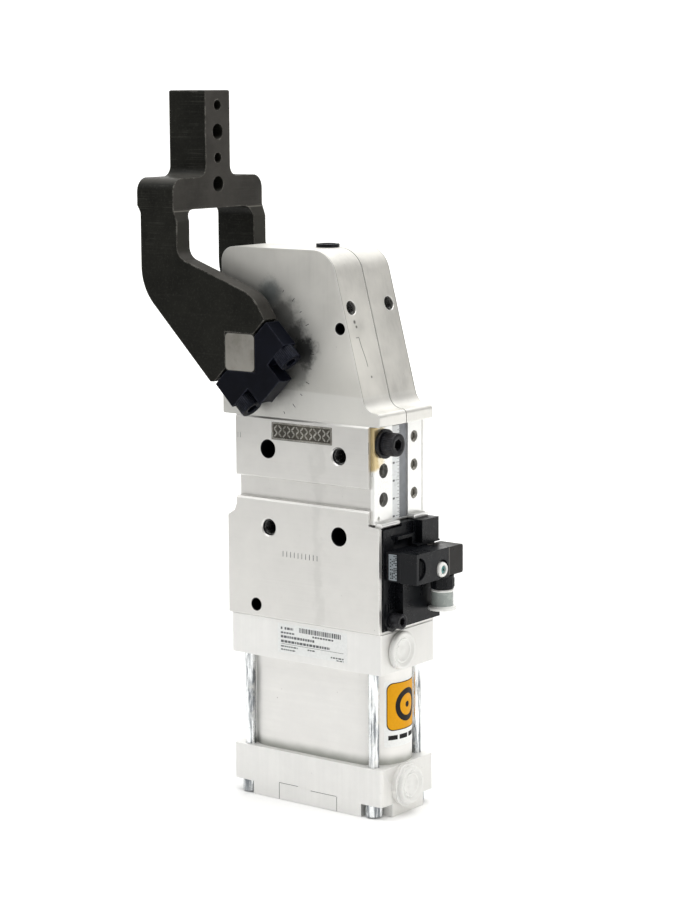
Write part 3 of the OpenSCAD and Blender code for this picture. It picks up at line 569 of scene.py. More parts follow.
def dark_steel(name, colour, worn, roughness, wear=0.8, dust=0.3, gloss=0.12, soil_and_shade=None):
    """Phosphated or blackened steel, rubbed bright along its edges."""
    g = Graph(name, colour, roughness, **{"Specular IOR Level": gloss})
    tool = g.noise(1, 4, 0.6, g.stretch((9, 9, 900)))
    cloud = g.noise(60, 5, 0.65)
    rub = g.noise(320, 4, 0.7, offset=(5, 2, 1))
    g.paint(shade(colour, 1.35), g.rise(cloud, 0.3, 0.72), base=shade(colour, 0.72))
    g.paint(shade(colour, 2.3), g.rise(tool, 0.55, 0.85, dust))
    edge = g.product(g.edges(0.001), g.ramp(rub, (0.36, 0.15), (0.66, 1.0)))
    g.paint(worn, g.maths("MULTIPLY", edge, wear, clamp=True))
    spots = g.product(g.specks(420, 0.07), g.rise(cloud, 0.5, 0.7, 0.7))
    g.paint(shade(worn, 0.6), spots)
    if soil_and_shade:
        soil_and_shade(g)
    rough = g.ramp(cloud, (0.3, roughness - 0.08), (0.7, roughness + 0.08))
    rough = g.sum(rough, g.product(edge, -0.12))
    g.finish(rough, g.sum(tool, g.product(rub, 0.6)), 0.00007, 0.7)


def moulded(name, colour, roughness=0.42, texture=900.0, patchy=0.18, rim=0.015, soil_and_shade=None,
            **sockets):
    """Moulded plastic with fine spark texture, handling marks and slightly paler edges."""
    g = Graph(name, colour, roughness, **sockets)
    grain = g.noise(texture, 3.0, 0.6)
    marks = g.noise(120, 4, 0.7)
    g.paint(shade(colour, 1 + patchy), g.rise(marks, 0.35, 0.7), base=shade(colour, 1 - patchy))
    # Paler edges: wear, with a painted highlight along the bevels.
    pale = tuple(min(1.0, c * 1.6 + rim) for c in colour)
    g.paint(pale, g.edges(0.0006), 0.45)
    if soil_and_shade:
        soil_and_shade(g)
    rough = g.ramp(marks, (0.35, roughness - 0.08), (0.72, roughness + 0.14))
    g.finish(rough, grain, 0.00003, 0.6)


def printed(name, colour, roughness, **sockets):
    """Printed film: faint ink mottling under a smooth top coat."""
    g = Graph(name, colour, roughness, **sockets)
    mottle = g.noise(700, 3, 0.6)
    smudge = g.noise(90, 4, 0.6)
    g.paint(colour, g.rise(mottle, 0.3, 0.7), base=shade(colour, 0.93))
    g.paint(shade(colour, 0.75), g.rise(smudge, 0.6, 0.85, 0.15))
    g.finish(g.ramp(smudge, (0.3, roughness - 0.06), (0.7, roughness + 0.1)), mottle, 0.00001, 0.4)


def paper_white():
    """Matt white paper. It glows faintly behind and beside the object, like a lit backdrop."""
    g = Graph("floor_white", (0.9, 0.9, 0.895), 0.7, **{"Emission Color": (1.0, 1.0, 0.99)})
    g.paint((0.905, 0.905, 0.9), g.noise(3), base=(0.895, 0.895, 0.89))
    g.join(g.base, g.bsdf.inputs["Base Color"])
    far = g.ramp(g.near((0, 0, 0), 1.6, 0.15), (0.0, 0.56), (1.0, 0.05))
    behind = g.rise(g.along(AWAY), -0.8, -0.34)
    right = g.rise(g.along(ACROSS), -1.45, -0.65)
    above = g.rise(g.part("Z"), 0.9, 1.6, 0.4)
    g.join(g.sum(g.product(far, behind, right), above), g.bsdf.inputs["Emission Strength"])
    return g.material


def make_materials():
    matt = {"Specular IOR Level": 0.17}
    head, block, plate = (0.78, 0.765, 0.72), (0.7, 0.69, 0.665), (0.88, 0.88, 0.86)
    milled("head_aluminium", head, 0.42, (700, 500, 40), soil_and_shade=head_soil_and_shade)
    milled("block_aluminium", block, 0.38, (14, 800, 700), cloud=0.05, soil_and_shade=block_soil_and_shade)
    milled("plate_aluminium", plate, 0.3, (500, 40, 40), soil_and_shade=plate_soil)
    milled("bright_steel", (0.31, 0.298, 0.27), 0.4, (500, 500, 500), wear=0.0, cloud=0.15,
           metallic=0.9, soil_and_shade=shaft_stain_and_shade)
    milled("chrome_rod", (0.8, 0.81, 0.82), 0.16, (900, 900, 40), metallic=1.0, cloud=0.02)
    milled("bronze", (0.55, 0.36, 0.16), 0.4, (400, 400, 400), metallic=0.95)
    blasted("cover_aluminium", (0.9, 0.895, 0.875), 0.5, (400, 400, 12), cover_shade_and_lines)
    blasted("tube_aluminium", (0.88, 0.87, 0.845), 0.46, (30, 30, 500), tube_foot_shade)
    zinc("zinc_steel")
    threads("thread_steel")
    dark_steel("arm_steel", (0.0085, 0.0085, 0.0066), (0.16, 0.157, 0.14), 0.46, wear=1.0,
               dust=0.7, gloss=0.1, soil_and_shade=arm_grain_and_light)
    dark_steel("black_steel", (0.006, 0.006, 0.0075), (0.09, 0.09, 0.1), 0.34, dust=0.15, gloss=0.2)
    dark_steel("cap_steel", (0.0024, 0.003, 0.0062), (0.05, 0.055, 0.075), 0.42, dust=0.2,
               gloss=0.07)
    dark_steel("plate_raised", (0.2, 0.19, 0.165), (0.55, 0.54, 0.5), 0.4, wear=1.0)
    dark_steel("plate_dark", (0.075, 0.07, 0.058), (0.42, 0.41, 0.38), 0.5, wear=1.0)
    moulded("rubber_black", (0.018, 0.018, 0.018), 0.62, 500.0)
    moulded("black_plastic", (0.0045, 0.0051, 0.0066), 0.32, **matt)
    moulded("plug_plastic", (0.0045, 0.0051, 0.0066), 0.32, soil_and_shade=plug_seam_shade, **matt)
    # The plug's block: strongly paler edges, for wear and a painted highlight, and the seam's painted
    # shade.
    moulded("worn_and_lit_plastic", (0.01, 0.0088, 0.008), 0.34, rim=0.1, soil_and_shade=plug_seam_shade, **matt)
    moulded("blue_plastic", (0.04, 0.12, 0.3), 0.4)
    moulded("clear_white_plastic", (0.75, 0.75, 0.73), 0.34, 300.0, patchy=0.02)
    moulded("grey_plastic", (0.3, 0.33, 0.315), 0.28, 400.0, patchy=0.06)
    moulded("slot_plastic", (0.2, 0.21, 0.225), 0.5)
    moulded("teal_lens", (0.04, 0.19, 0.18), 0.2, 300.0, **{"Coat Weight": 0.5})
    moulded("acetal", (0.62, 0.5, 0.27), 0.35, 400.0)
    printed("scale_plastic", (0.7, 0.72, 0.73), 0.3)
    printed("sticker_yellow", (0.74, 0.34, 0.002), 0.5, **{"Specular IOR Level": 0.15})
    printed("label_white", (0.86, 0.87, 0.86), 0.45)
    printed("ink", (0.01, 0.01, 0.01), 0.6, **{"Specular IOR Level": 0.2})
    printed("ink_grey", (0.1, 0.105, 0.11), 0.5)
    printed("silver_film", (0.22, 0.25, 0.27), 0.35)


# ---- mesh helpers

WELD = 3e-6
FLAT_ANGLE = math.radians(0.4)
SCREW_SPIN = 0.3
FILM = 0.00006


def mesh_object(name, bm):
    data = bpy.data.meshes.new(name)
    bm.to_mesh(data)
    bm.free()
    thing = bpy.data.objects.new(name, data)
    SCENE.collection.objects.link(thing)
    return thing


def finish_piece(piece, body, material, smooth=35):
    """Shades a piece, gives it its material and lets it ride on a body."""
    piece.data.shade_smooth()
    piece.data.set_sharp_from_angle(angle=math.radians(smooth))
    piece.data.materials.clear()
    piece.data.materials.append(M[material])
    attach(piece, body)
    return piece


def place(name, bm, material, body="housing", smooth=35):
    """Makes a piece of the mesh. It rides on the housing unless another body is named."""
    bmesh.ops.recalc_face_normals(bm, faces=bm.faces)
    return finish_piece(mesh_object(name, bm), body, material, smooth)


def welded(mesh):
    """The mesh as a bmesh, with points that lie closer than WELD joined."""
    bm = bmesh.new()
    bm.from_mesh(mesh)
    bmesh.ops.remove_doubles(bm, verts=bm.verts, dist=WELD)
    return bm


def carve(piece, cutter_bm):
    """Cuts the shapes of cutter_bm out of the piece's mesh."""
    cutter = mesh_object("cutter", cutter_bm)
    modifier = piece.modifiers.new("cut", "BOOLEAN")
    modifier.operation = "DIFFERENCE"
    modifier.solver = "EXACT"
    modifier.use_self = True
    modifier.object = cutter
    graph = bpy.context.evaluated_depsgraph_get()
    cut = bpy.data.meshes.new_from_object(piece.evaluated_get(graph))
    piece.modifiers.remove(modifier)
    piece.data = cut
    bpy.data.objects.remove(cutter)


def refined(node, edge, material=None, cutter_bm=None, segments=2, angle=30):
    """A copy of a CAD node with fine cuts and real bevelled edges, standing for it."""
    piece = mesh_object(node + "_edged", welded(NODES[node].data))
    if cutter_bm:
        carve(piece, cutter_bm)
    bm = welded(piece.data)
    bmesh.ops.dissolve_limit(bm, angle_limit=FLAT_ANGLE, verts=bm.verts, edges=bm.edges)
    bm.to_mesh(piece.data)
    bm.free()
    finish_piece(piece, BODY[node], material or SLOT[node], angle + 10)
    bevel = piece.modifiers.new("edges", "BEVEL")
    bevel.width = edge * MM
    bevel.segments = segments
    bevel.limit_method = "ANGLE"
    bevel.angle_limit = math.radians(angle)
    bevel.use_clamp_overlap = True
    weigh = piece.modifiers.new("normals", "WEIGHTED_NORMAL")
    weigh.keep_sharp = True
    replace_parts(piece, node)


def box(bm, low, high, turn=None):
    """Adds a box, turned by the matrix turn if there is one."""
    low, high = Vector(low), Vector(high)
    place_at = Matrix.Translation((low + high) / 2)
    size = Matrix.Diagonal((*(high - low), 1))
    bmesh.ops.create_cube(bm, size=1, matrix=(turn or Matrix.Identity(4)) @ place_at @ size)


def frame_for(origin, axis, spin=0.0):
    """A matrix whose Z axis runs along axis from origin."""
    turn = Vector(axis).to_track_quat("Z", "Y").to_matrix().to_4x4()
    return Matrix.Translation(origin) @ turn @ Matrix.Rotation(spin, 4, "Z")


def bridge(bm, low, high):
    """Joins two rings of the same number of points."""
    count = len(low)
    for i in range(count):
        j = (i + 1) % count
        bm.faces.new((low[i], low[j], high[j], high[i]))


def lathe(bm, rows, where, count=72, closed=False):
    """Joins rings of points. A row is (height, radius), and a radius may depend on the angle."""
    rings = []
    for height, radius in rows:
        ring = []
        for i in range(count):
            a = 2 * math.pi * i / count
            r = radius(a) if callable(radius) else radius
            ring.append(bm.verts.new(where @ Vector((r * math.cos(a), r * math.sin(a), height))))
        rings.append(ring)
    pairs = list(zip(rings, rings[1:]))
    if closed:
        pairs.append((rings[-1], rings[0]))
    for low, high in pairs:
        bridge(bm, low, high)
    if not closed:
        bm.faces.new(rings[0][::-1])
        bm.faces.new(rings[-1])


def hexagon(flats):
    """Radius of a hexagon, by angle."""
    return lambda a: flats / 2 / math.cos((a % (math.pi / 3)) - math.pi / 6)


def knurled(radius, depth, ridges):
    """Radius of a knurled round, by angle."""
    return lambda a: radius - depth * (0.5 + 0.5 * math.cos(ridges * a)) ** 2


def socket_screw(bm, where, head_d, head_h, shank_d, shank, flats, ridges=36):
    """A knurled socket cap screw. Its head's end is at the frame's origin and +Z points out of it."""
    r = head_d / 2
    knurl = knurled(r, 0.025 * head_d, ridges)
    c = 0.05 * head_d
    rows = [
        (-shank - head_h, shank_d * 0.42), (-shank - head_h + 0.0006, shank_d / 2),
        (-head_h, shank_d / 2), (-head_h, r * 0.94), (-head_h + c * 0.6, knurl),
        (-c * 1.5, knurl), (-c * 1.2, r * 0.985), (-c * 0.4, r * 0.965), (0, r * 0.86),
        (0, flats * 0.68), (-0.0004, hexagon(flats)), (-head_h * 0.55, hexagon(flats)),
        (-head_h * 0.62, flats * 0.2),
    ]
    lathe(bm, rows, where, ridges * 4)


def loose_parts(node):
    """The separate solids of a CAD node, as lists of points."""
    bm = welded(NODES[node].data)
    left, parts = set(bm.verts), []
    while left:
        group, edge = set(), [left.pop()]
        while edge:
            v = edge.pop()
            group.add(v)
            for e in v.link_edges:
                other = e.other_vert(v)
                if other in left:
                    left.remove(other)
                    edge.append(other)
        parts.append([v.co.copy() for v in group])
    bm.free()
    return parts


def screws_for(node, name, axis, material, flats):
    """Detailed socket screws in the places and sizes of a CAD node's plain ones."""
    axis = Vector(axis).normalized()
    bm = bmesh.new()
    for points in loose_parts(node):
        heights = [p.dot(axis) for p in points]
        top, bottom = max(heights), min(heights)
        middle = sum((p - axis * p.dot(axis) for p in points), Vector()) / len(points)
        reach = [((p - axis * h) - middle).length for p, h in zip(points, heights)]
        head_r = max(reach)
        shank_r = max(r for r, h in zip(reach, heights) if h < bottom + 2e-5)
        neck = min(h for r, h in zip(reach, heights) if r > 0.97 * head_r)
        where = frame_for(middle + axis * top, axis, SCREW_SPIN)
        socket_screw(bm, where, head_r * 2, top - neck, shank_r * 2, neck - bottom, flats)
    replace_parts(place(name, bm, material, BODY[node]), node)


def arc_outline(cv, radius, count):
    """Closed outline of a circle whose middle is at (0, cv)."""
    turns = [2 * math.pi * i / count for i in range(count)]
    return [(radius * math.cos(a), cv + radius * math.sin(a)) for a in turns]


def round_rect(low, high, radius, steps=6):
    """Closed outline of a rectangle with round corners."""
    cu, cv = (low[0] + high[0]) / 2, (low[1] + high[1]) / 2
    width, height = high[0] - low[0], high[1] - low[1]
    points = []
    for k, (su, sv) in enumerate(((1, 1), (-1, 1), (-1, -1), (1, -1))):
        for i in range(steps + 1):
            a = math.radians(90) * (k + i / steps)
            points.append((
                cu + su * (width / 2 - radius) + radius * math.cos(a),
                cv + sv * (height / 2 - radius) + radius * math.sin(a),
            ))
    return points


def dense(outline, step=0.0008):
    """The same closed outline, with a point at least every step."""
    points = []
    for a, b in zip(outline, outline[1:] + outline[:1]):
        count = max(1, math.ceil(math.dist(a, b) / step))
        points += [tuple(p + (q - p) * i / count for p, q in zip(a, b)) for i in range(count)]
    return points


def film(bm, outer, inner, surface, lift, thick=FILM, steps=6):
    """A closed thin layer between two closed outlines, laid on surface(u, v, height)."""
    def skin(height):
        rings = []
        for k in range(steps + 1):
            s = k / steps
            rings.append([
                bm.verts.new(surface(a[0] + (b[0] - a[0]) * s, a[1] + (b[1] - a[1]) * s, height))
                for a, b in zip(inner, outer)
            ])
        return rings

    low, high = skin(lift - thick), skin(lift)
    strips = [pair for rings in (low, high) for pair in zip(rings, rings[1:])]
    strips += [(low[0], high[0]), (low[-1], high[-1])]
    for a, b in strips:
        bridge(bm, a, b)
    bmesh.ops.remove_doubles(bm, verts=bm.verts, dist=1e-7)


def filled(bm, outline, surface, lift, thick=FILM, steps=8):
    """A closed thin layer inside one outline."""
    cu = sum(p[0] for p in outline) / len(outline)
    cv = sum(p[1] for p in outline) / len(outline)
    film(bm, outline, [(cu, cv)] * len(outline), surface, lift, thick, steps)


def side_surface(y, sign):
    """Films on a mounting side: u is X, v is Z."""
    return lambda u, v, h: Vector((u, y + sign * h, v))


def end_surface(x):
    """Films on a face of the +X side: u is Y, v is Z."""
    return lambda u, v, h: Vector((x + h, u, v))


def bar(bm, low, high, surface, lift):
    """A thin printed bar between two (u, v) corners."""
    filled(bm, dense(round_rect(low, high, 0.00012, 2), 0.0012), surface, lift, 0.00003, 2)


# ---- edges and fine cuts

def mouth_chamfer(bm, mouth, axis, radius, chamfer):
    """A cone that breaks the edge of a hole whose mouth is at the point."""
    rows = [(-chamfer, radius - 0.00002), (chamfer, radius + 2 * chamfer)]
    lathe(bm, rows, frame_for(mouth, axis), 64)


def strokes(bm, low, high, step, y, wide=0.00045, depth=0.00018):
    """Plain upright strokes, cut side by side between two (x, z) corners of the near side."""
    for i in range(int((high[0] - low[0]) / step) + 1):
        x = low[0] + step * i
        box(bm, (x, y - 0.001, low[1]), (x + wide, y + depth, high[1]))


def block_cuts():
    """Chamfered hole mouths and two rows of plain tally strokes."""
    bm = bmesh.new()
    low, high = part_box("housing_block")
    for side, y in (("near", low[1]), ("far", high[1])):
        for kind, chamfer in (("dowel", 0.35), ("thread", 1.1)):
            for level in ("upper", "lower"):
                mouth, axis, radius = mouth_of(f"{side}_{kind}_{level}")
                mouth_chamfer(bm, (mouth.x, y, mouth.z), axis, radius, chamfer * MM)
    x, y, z = low
    strokes(bm, (x + 0.0398, z + 0.037), (x + 0.0645, z + 0.0402), 0.0027, y)
    strokes(bm, (x + 0.006, z + 0.1025), (x + 0.011, z + 0.1055), 0.0018, y, 0.0003)
    return bm


def head_cuts(side):
    """Chamfered hole mouths and index strokes round the shaft on one head half."""
    bm = bmesh.new()
    low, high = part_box("head_half_" + side)
    sign = -1 if side == "near" else 1
    y = low[1] if sign < 0 else high[1]
    mouth, axis, radius = mouth_of(side + "_head_hole")
    mouth_chamfer(bm, (mouth.x, y, mouth.z), axis, radius, 0.5 * MM)
    mouth_chamfer(bm, *mouth_of(side + "_slope_thread"), 0.2 * MM)
    deep, over, half = 0.0002, 0.001, 0.00022
    for degrees in range(-60, 61, 12):
        turn = Matrix.Translation(SHAFT) @ Matrix.Rotation(math.radians(-degrees), 4, "Y")
        long = 0.0016 if degrees % 24 else 0.0026
        a, b = sorted((y - SHAFT.y - sign * deep, y - SHAFT.y + sign * over))
        box(bm, (INDEX_RADIUS, a, -half), (INDEX_RADIUS + long, b, half), turn)
    return bm


def base_cuts():
    """Fine lines of a shallow machined pocket near the foot of both long sides."""
    bm = bmesh.new()
    low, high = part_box("base_cover")
    deep, line, over = 0.0003, 0.0004, 0.002
    left, right, top = low[0] + 0.0333, low[0] + 0.0748, low[2] + 0.0095
    for side in (low[1], high[1]):
        inward = math.copysign(1, -side)
        a, b = sorted((side - inward * over, side + inward * deep))
        box(bm, (left, a, -0.001), (left + line, b, top))
        box(bm, (right, a, -0.001), (right + line, b, top - 0.001))
        box(bm, (left, a, top), (left + 0.014, b, top + line))
        box(bm, (right - 0.0185, a, top - 0.001), (right, b, top - 0.001 + line))
    return bm


def edge_nodes():
    """Gives the nodes that are seen from close by their edges, in millimetres, and their cuts."""
    refined("fork_arm", 1.0, segments=3)
    refined("clamp_caps", 0.9, material="cap_steel", segments=3)
    refined("housing_block", 0.28, cutter_bm=block_cuts())
    refined("head_half_near", 0.35, cutter_bm=head_cuts("near"))
    refined("head_half_far", 0.35, cutter_bm=head_cuts("far"))
    refined("base_cover", 0.6, cutter_bm=base_cuts())
    refined("cylinder_cover", 0.4)
    refined("crank_shaft", 1.0, segments=3)
    refined("guide_plate", 0.25)
    refined("sensor_housing", 0.5)
    refined("connector_box", 0.6, material="plug_plastic")
    refined("connector_block", 0.7, material="worn_and_lit_plastic")
    refined("m12_socket", 0.25)
    refined("tie_rods", 0.5)
    refined("head_plug", 0.3)
    refined("stop_collar", 0.3)


# ---- small parts

def add_screws():
    screws_for("cap_screws", "clamp_screws", (1, 0, -1), "cap_steel", 0.006)
    screws_for("stop_screw", "stop_socket_screw", (1, 0, 0), "black_steel", 0.006)
    screws_for("sensor_screw", "sensor_socket_screw", (1, 0, 0), "black_steel", 0.0045)


def thread_ridge(radius, height, pitch):
    """Radius of a thread's turns at a height, by angle."""
    def at(angle):
        wave = (height / pitch + angle / (2 * math.pi)) % 1
        return radius - 0.00008 - 0.00062 * (1 - abs(2 * wave - 1))
    return at


def add_threads():
    """Helical threads inside the tapped holes."""
    start, pitch, turns, per_turn = 0.0016, 0.0015, 6.5, 8
    rises = [pitch * i / per_turn for i in range(int(turns * per_turn))]
    bm = bmesh.new()
    for name in (n for n in MOUNTS if "thread" in n):
        mouth, axis, radius = mouth_of(name)
        if "slope" not in name:
            mouth.y = math.copysign(BLOCK_HALF, axis.y)
        inner = [(-start - rise, thread_ridge(radius, rise, pitch)) for rise in rises]
        outer = [(h, radius - 0.00003) for h, _ in reversed(inner)]
        lathe(bm, inner + outer, frame_for(mouth, axis), 40, closed=True)
    place("screw_threads", bm, "thread_steel", smooth=60)


def add_nameplate():
    """A dark plate with a raised tread pattern, let into the near side."""
    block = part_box("housing_block")[0]
    recess = 0.0004
    y = block[1] + recess
    left, right = block[0] + 0.03275, block[0] + 0.07515
    foot, top = block[2] + 0.10355, block[2] + 0.11325
    surface = side_surface(y, -1)
    outline = round_rect((left, foot), (right, top), 0.0004, 3)
    rim = 0.00085
    inner = round_rect((left + rim, foot + rim), (right - rim, top - rim), 0.0004, 3)
    plate = bmesh.new()
    filled(plate, outline, surface, 0.00012, 0.00012, 4)
    place("tread_plate", plate, "plate_dark")
    raised = bmesh.new()
    film(raised, outline, inner, surface, 0.00042, 0.0003, 3)
    columns, rows, border = 13, 3, 0.0026
    for i in range(columns):
        u = left + border + (right - left - 2 * border) * i / (columns - 1)
        for j in range(rows):
            v = foot + border + (top - foot - 2 * border) * j / (rows - 1)
            lean = math.radians(45 if (i + j) % 2 else -45)
            where = Matrix.Translation((u, y - 0.00012, v)) @ Matrix.Rotation(lean, 4, "Y")
            where = where @ Matrix.Diagonal((0.00155, 0.00032, 0.0005, 1))
            bmesh.ops.create_uvsphere(raised, u_segments=16, v_segments=8, radius=1, matrix=where)
    place("tread_pattern", raised, "plate_raised", smooth=50)


def dashes(bm, rng, start, run, v, tall, surface, lift):
    """A broken line of printed dashes, standing for a line of small print."""
    u = start
    while u < start + run:
        dash = rng.uniform(0.0009, 0.0022)
        bar(bm, (u, v - tall / 2), (min(u + dash, start + run), v + tall / 2), surface, lift)
        u += dash + 0.0005


def add_type_label():
    """A pale type label with plain bars and rules instead of lettering."""
    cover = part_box("cylinder_cover")[0]
    surface = side_surface(cover[1], -1)
    x0, z0 = cover[0] + 0.0338, cover[2] + 0.0041
    wide, tall = 0.0495, 0.017
    paper = bmesh.new()
    filled(paper, round_rect((x0, z0), (x0 + wide, z0 + tall), 0.0006), surface, 0.00009, 0.00008)
    place("type_label", paper, "label_white")
    ink = bmesh.new()
    lift = 0.00012
    rng = random.Random(4)
    x, stripes_end = x0 + 0.0155, x0 + 0.045
    while x < stripes_end:
        width = rng.choice((0.00045, 0.0007, 0.001))
        bar(ink, (x, z0 + 0.013), (x + width, z0 + 0.0158), surface, lift)
        x += width + rng.choice((0.0003, 0.0005))
    # Height above the label's foot, height of a line, and (start, length) of each run.
    lines = (
        (0.0143, 0.0014, ((0.0023, 0.0016), (0.005, 0.0062))),
        (0.0117, 0.001, ((0.0023, 0.01), (0.025, 0.015))),
        (0.0094, 0.0014, ((0.0023, 0.024),)),
        (0.0067, 0.0014, ((0.0023, 0.035),)),
        (0.0038, 0.0008, ((0.0023, 0.012), (0.0215, 0.005))),
        (0.0019, 0.0008, ((0.0023, 0.0105), (0.038, 0.009))),
        (0.0006, 0.0006, ((0.042, 0.005),)),
    )
    for v, high, runs in lines:
        for start, run in runs:
            dashes(ink, rng, x0 + start, run, z0 + v, high, surface, lift)
    bar(ink, (x0 + 0.0023, z0 + 0.0051), (x0 + 0.047, z0 + 0.0053), surface, lift)
    place("type_label_ink", ink, "ink_grey")


def add_sticker():
    """A yellow sticker with a plain ring on the round end of the cylinder tube."""
    low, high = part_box("cylinder_tube")
    radius = high[1]
    centre = high[0] - radius
    half, middle, tall = 0.015, 0.033, 0.0138
    shift, outline, lift = 0.0018, 0.0005, 0.00016

    def surface(u, v, h):
        a = (u + shift) / radius
        r = radius + h
        return Vector((centre + r * math.cos(a), r * math.sin(a), low[2] + v))

    white = bmesh.new()
    sheet = dense(round_rect((-half - 0.0014, 0.01), (half + 0.0014, 0.048), 0.0015))
    filled(white, sheet, surface, 0.00007, steps=24)
    place("sticker_sheet", white, "label_white")
    yellow = bmesh.new()
    edge = dense(round_rect((-half, middle - tall), (half, middle + tall), 0.004))
    filled(yellow, edge, surface, 0.00012, 0.00004, steps=24)
    place("sticker_field", yellow, "sticker_yellow")
    ink = bmesh.new()
    across, upward = 1 - outline / half, 1 - outline / tall
    inside = [(u * across, middle + (v - middle) * upward) for u, v in edge]
    film(ink, edge, inside, surface, lift, 0.00003, 1)
    ring = [arc_outline(middle, r, 72) for r in (0.0095, 0.0062)]
    film(ink, *ring, surface, lift, 0.00003, 4)
    filled(ink, arc_outline(middle, 0.0017, 24), surface, lift, 0.00003, 3)
    for u0, u1 in ((-0.014, -0.008), (-0.0066, 0.0), (0.0014, 0.0074), (0.0088, 0.0138)):
        bar(ink, (u0, 0.014), (u1, 0.0166), surface, 0.00011)
    place("sticker_ink", ink, "ink")


def add_scale():
    """Plain division strokes on the scale and on the edge of the slot cover."""
    low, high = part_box("scale_strip")
    bm = bmesh.new()
    surface = end_surface(high[0])
    for i in range(25):
        z = low[2] + 0.0015 + 0.002 * i
        if z > high[2] - 0.001:
            break
        long = 0.003 if i % 5 == 0 else 0.0014
        bar(bm, (high[1] - 0.0002 - long, z), (high[1] - 0.0002, z + 0.00025), surface, 0.00004)
        if i % 5 == 0:
            bar(bm, (low[1] + 0.0008, z - 0.0005), (low[1] + 0.0026, z + 0.0006), surface, 0.00004)
    place("scale_strokes", bm, "ink_grey")
    low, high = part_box("slot_strip")
    bm = bmesh.new()
    surface = end_surface(high[0])
    for i in range(45):
        z = low[2] + 0.0008 + 0.00115 * i
        if z > high[2] - 0.0008:
            break
        bar(bm, (low[1] + 0.0002, z), (low[1] + 0.0012, z + 0.0004), surface, 0.00004)
    place("slot_strokes", bm, "label_white")


def add_sensor_trim():
    """The sensor plug's label with its pattern of blocks, and the ribs in its recess."""
    low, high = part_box("connector_box")
    surface = side_surface(low[1], -1)
    sheet = bmesh.new()
    a, b = (low[0] + 0.0028, low[2] + 0.0012), (low[0] + 0.0082, high[2] - 0.0012)
    filled(sheet, round_rect(a, b, 0.0004), surface, 0.00008, 0.00007)
    place("sensor_label", sheet, "silver_film")
    ink = bmesh.new()
    rng = random.Random(9)
    rows, columns = 14, 4
    for j in range(rows):
        for i in range(columns):
            if rng.random() < 0.3:
                continue
            u = a[0] + 0.0008 + i * 0.0012
            v = a[1] + 0.0009 + j * (b[1] - a[1] - 0.0022) / (rows - 1)
            bar(ink, (u, v), (u + 0.0009, v + 0.0006), surface, 0.00011)
    place("sensor_label_ink", ink, "ink")
    ribs = bmesh.new()
    left, right, foot, top = high[0] - 0.0028, high[0] - 0.0012, low[2] + 0.0042, high[2] - 0.0045
    for i in range(4):
        y = -0.0182 + 0.0013 * i
        box(ribs, (left, y, foot), (right, y + 0.0005, top))
    bmesh.ops.bevel(ribs, geom=ribs.edges[:], offset=0.0001, segments=1, affect="EDGES")
    place("plug_ribs", ribs, "black_plastic")


def add_dust_cap():
    """The thin-walled dust cap of the cable socket, with a pale rolled rim and a wide pale foot."""
    low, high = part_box("dust_cap")
    foot = (high[0] - low[0]) / 2
    z0, top = low[2], high[2]
    middle = middle_of("dust_cap")
    where = Matrix.Translation((middle.x, middle.y, 0))
    inner, outer = 0.00537, 0.00625
    wall = [
        (z0 + 0.0034, inner), (z0 + 0.0034, 0.0004), (z0 + 0.0026, 0.0004),
        (z0 + 0.0018, inner - 0.0006), (z0 + 0.0016, outer + 0.0004), (z0 + 0.0027, outer),
        (top - 0.0012, outer), (top - 0.0012, inner),
    ]
    bm = bmesh.new()
    lathe(bm, wall, where, 72, closed=True)
    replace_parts(place("dust_cap_wall", bm, "grey_plastic"), "dust_cap")
    rim = [
        (top - 0.0012, inner + 0.00002), (top - 0.0012, outer + 0.0001), (top - 0.0007, outer + 0.0003),
        (top - 0.0003, outer + 0.0001), (top, outer - 0.0003), (top, inner + 0.0001),
    ]
    brim = [
        (z0 + 0.0016, inner - 0.0008), (z0 + 0.0004, foot - 0.0009), (z0, foot - 0.0004),
        (z0 + 0.0003, foot), (z0 + 0.0013, foot), (z0 + 0.0016, foot - 0.0005),
        (z0 + 0.002, outer + 0.0006), (z0 + 0.0024, outer),
    ]
    bm = bmesh.new()
    lathe(bm, rim, where, 72, closed=True)
    lathe(bm, brim, where, 72, closed=True)
    place("dust_cap_rims", bm, "clear_white_plastic")


def add_far_lip():
    """The bright lip over the far half of the sensor cassette."""
    low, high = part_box("sensor_housing")
    start, end, foot = 0.0064, 0.0205, high[2] + 0.00005
    bm = bmesh.new()
    box(bm, (low[0] - 0.0002, start, foot), (low[0] + 0.0056, end, high[2] + 0.0022))
    bmesh.ops.bevel(bm, geom=bm.edges[:], offset=0.0006, segments=3, affect="EDGES")
    place("far_lip", bm, "plate_aluminium")


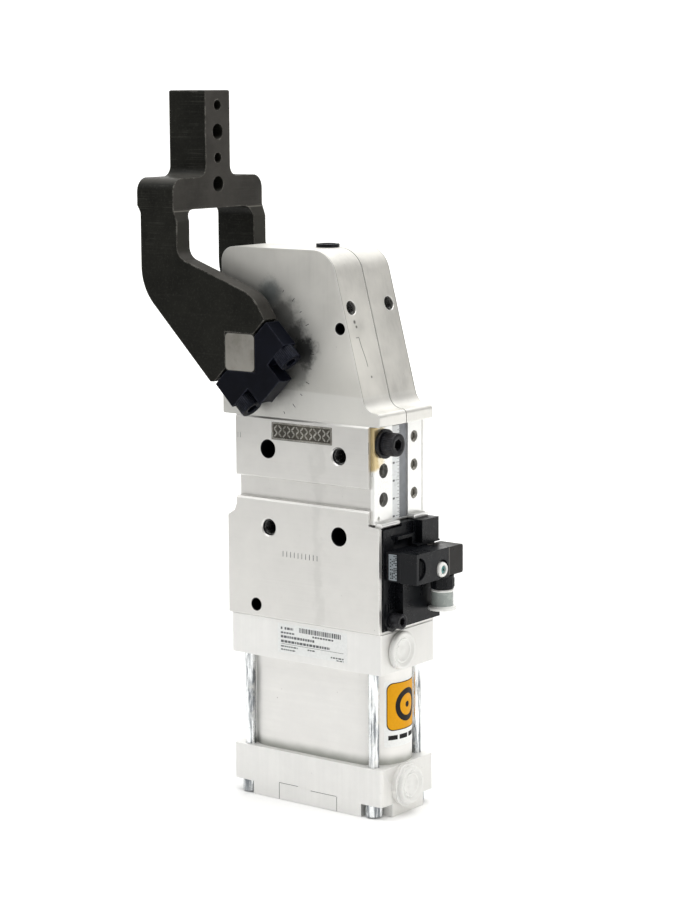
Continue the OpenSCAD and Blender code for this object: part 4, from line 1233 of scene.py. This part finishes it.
def add_lamp():
    """The sensor's lamp: a white ring, a domed lens and its dark core."""
    back, face = (corner[0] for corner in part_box("lamp_ring"))
    middle = middle_of("lamp_ring")
    drop, outer, inner = 0.0004, 0.0042, 0.0024
    where = frame_for((back, middle.y, middle.z - drop), (1, 0, 0))
    t = face - back
    ring = [
        (-0.0006, inner), (-0.0006, outer - 0.0002), (0.0, outer), (t - 0.001, outer),
        (t - 0.0003, outer - 0.0004), (t, outer - 0.001), (t, inner + 0.0004), (t - 0.0004, inner),
    ]
    bm = bmesh.new()
    lathe(bm, ring, where, 64, closed=True)
    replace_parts(place("lamp_ring_white", bm, "clear_white_plastic"), "lamp_ring")
    rim, dome = inner - 0.0001, t - 0.0012
    lens = [(-0.0004, rim), (dome, rim)]
    lens += [(dome + 0.0006 * math.sin(a), rim * math.cos(a)) for a in (0.4, 0.8, 1.2, 1.5)]
    bm = bmesh.new()
    lathe(bm, lens, where, 48)
    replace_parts(place("lamp_lens_dome", bm, "teal_lens"), "lamp_lens")
    core = [(t - 0.0008, 0.0007), (t - 0.00045, 0.0007), (t - 0.00035, 0.0004)]
    bm = bmesh.new()
    lathe(bm, core, where, 24)
    place("lamp_core", bm, "black_plastic")


def add_port_plug(node, skirt=None):
    """A soft protective plug with a rolled edge and raised rings, on a thin loose skirt if given."""
    low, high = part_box(node)
    middle = middle_of(node)
    flange, stem, t = (high[1] - low[1]) / 2, 0.00585, 0.0038
    base = high[0] - t
    where = frame_for((base, middle.y, middle.z), (1, 0, 0))
    rows = [
        (low[0] - base, stem - 0.0006), (low[0] - base + 0.0006, stem), (0.0, stem),
        (0.0, flange - 0.0006), (0.0006, flange), (t - 0.001, flange), (t - 0.0003, flange - 0.0004),
        (t, flange - 0.0013), (t - 0.0003, flange - 0.0022), (t - 0.0011, flange - 0.0028),
        (t - 0.0013, 0.007), (t - 0.0009, 0.0066), (t - 0.0009, 0.0062), (t - 0.0016, 0.0056),
        (t - 0.002, 0.003), (t - 0.0017, 0.0016), (t - 0.0015, 0.0006),
    ]
    bm = bmesh.new()
    lathe(bm, rows, where, 96)
    if skirt:
        def wavy(a):
            return skirt + 0.0004 * math.sin(3 * a + 1.0) + 0.00025 * math.sin(7 * a)

        inner = flange - 0.001
        rows = [(0.0002, inner), (0.0002, wavy), (0.0005, wavy), (0.0009, inner)]
        lathe(bm, rows, where, 96, closed=True)
    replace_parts(place(node + "_rolled", bm, "clear_white_plastic", smooth=45), node)


def dress_nodes():
    """Gives every CAD node the material of its slot."""
    for node, thing in NODES.items():
        thing.data.materials.clear()
        thing.data.materials.append(M["cap_steel" if node == "clamp_caps" else SLOT[node]])


make_camera()
make_studio()
make_materials()
make_floor(paper_white())
dress_nodes()
edge_nodes()
add_screws()
add_threads()
add_nameplate()
add_type_label()
add_sticker()
add_scale()
add_sensor_trim()
add_dust_cap()
add_far_lip()
add_lamp()
add_port_plug("port_plug_upper")
add_port_plug("port_plug_lower", skirt=0.0121)
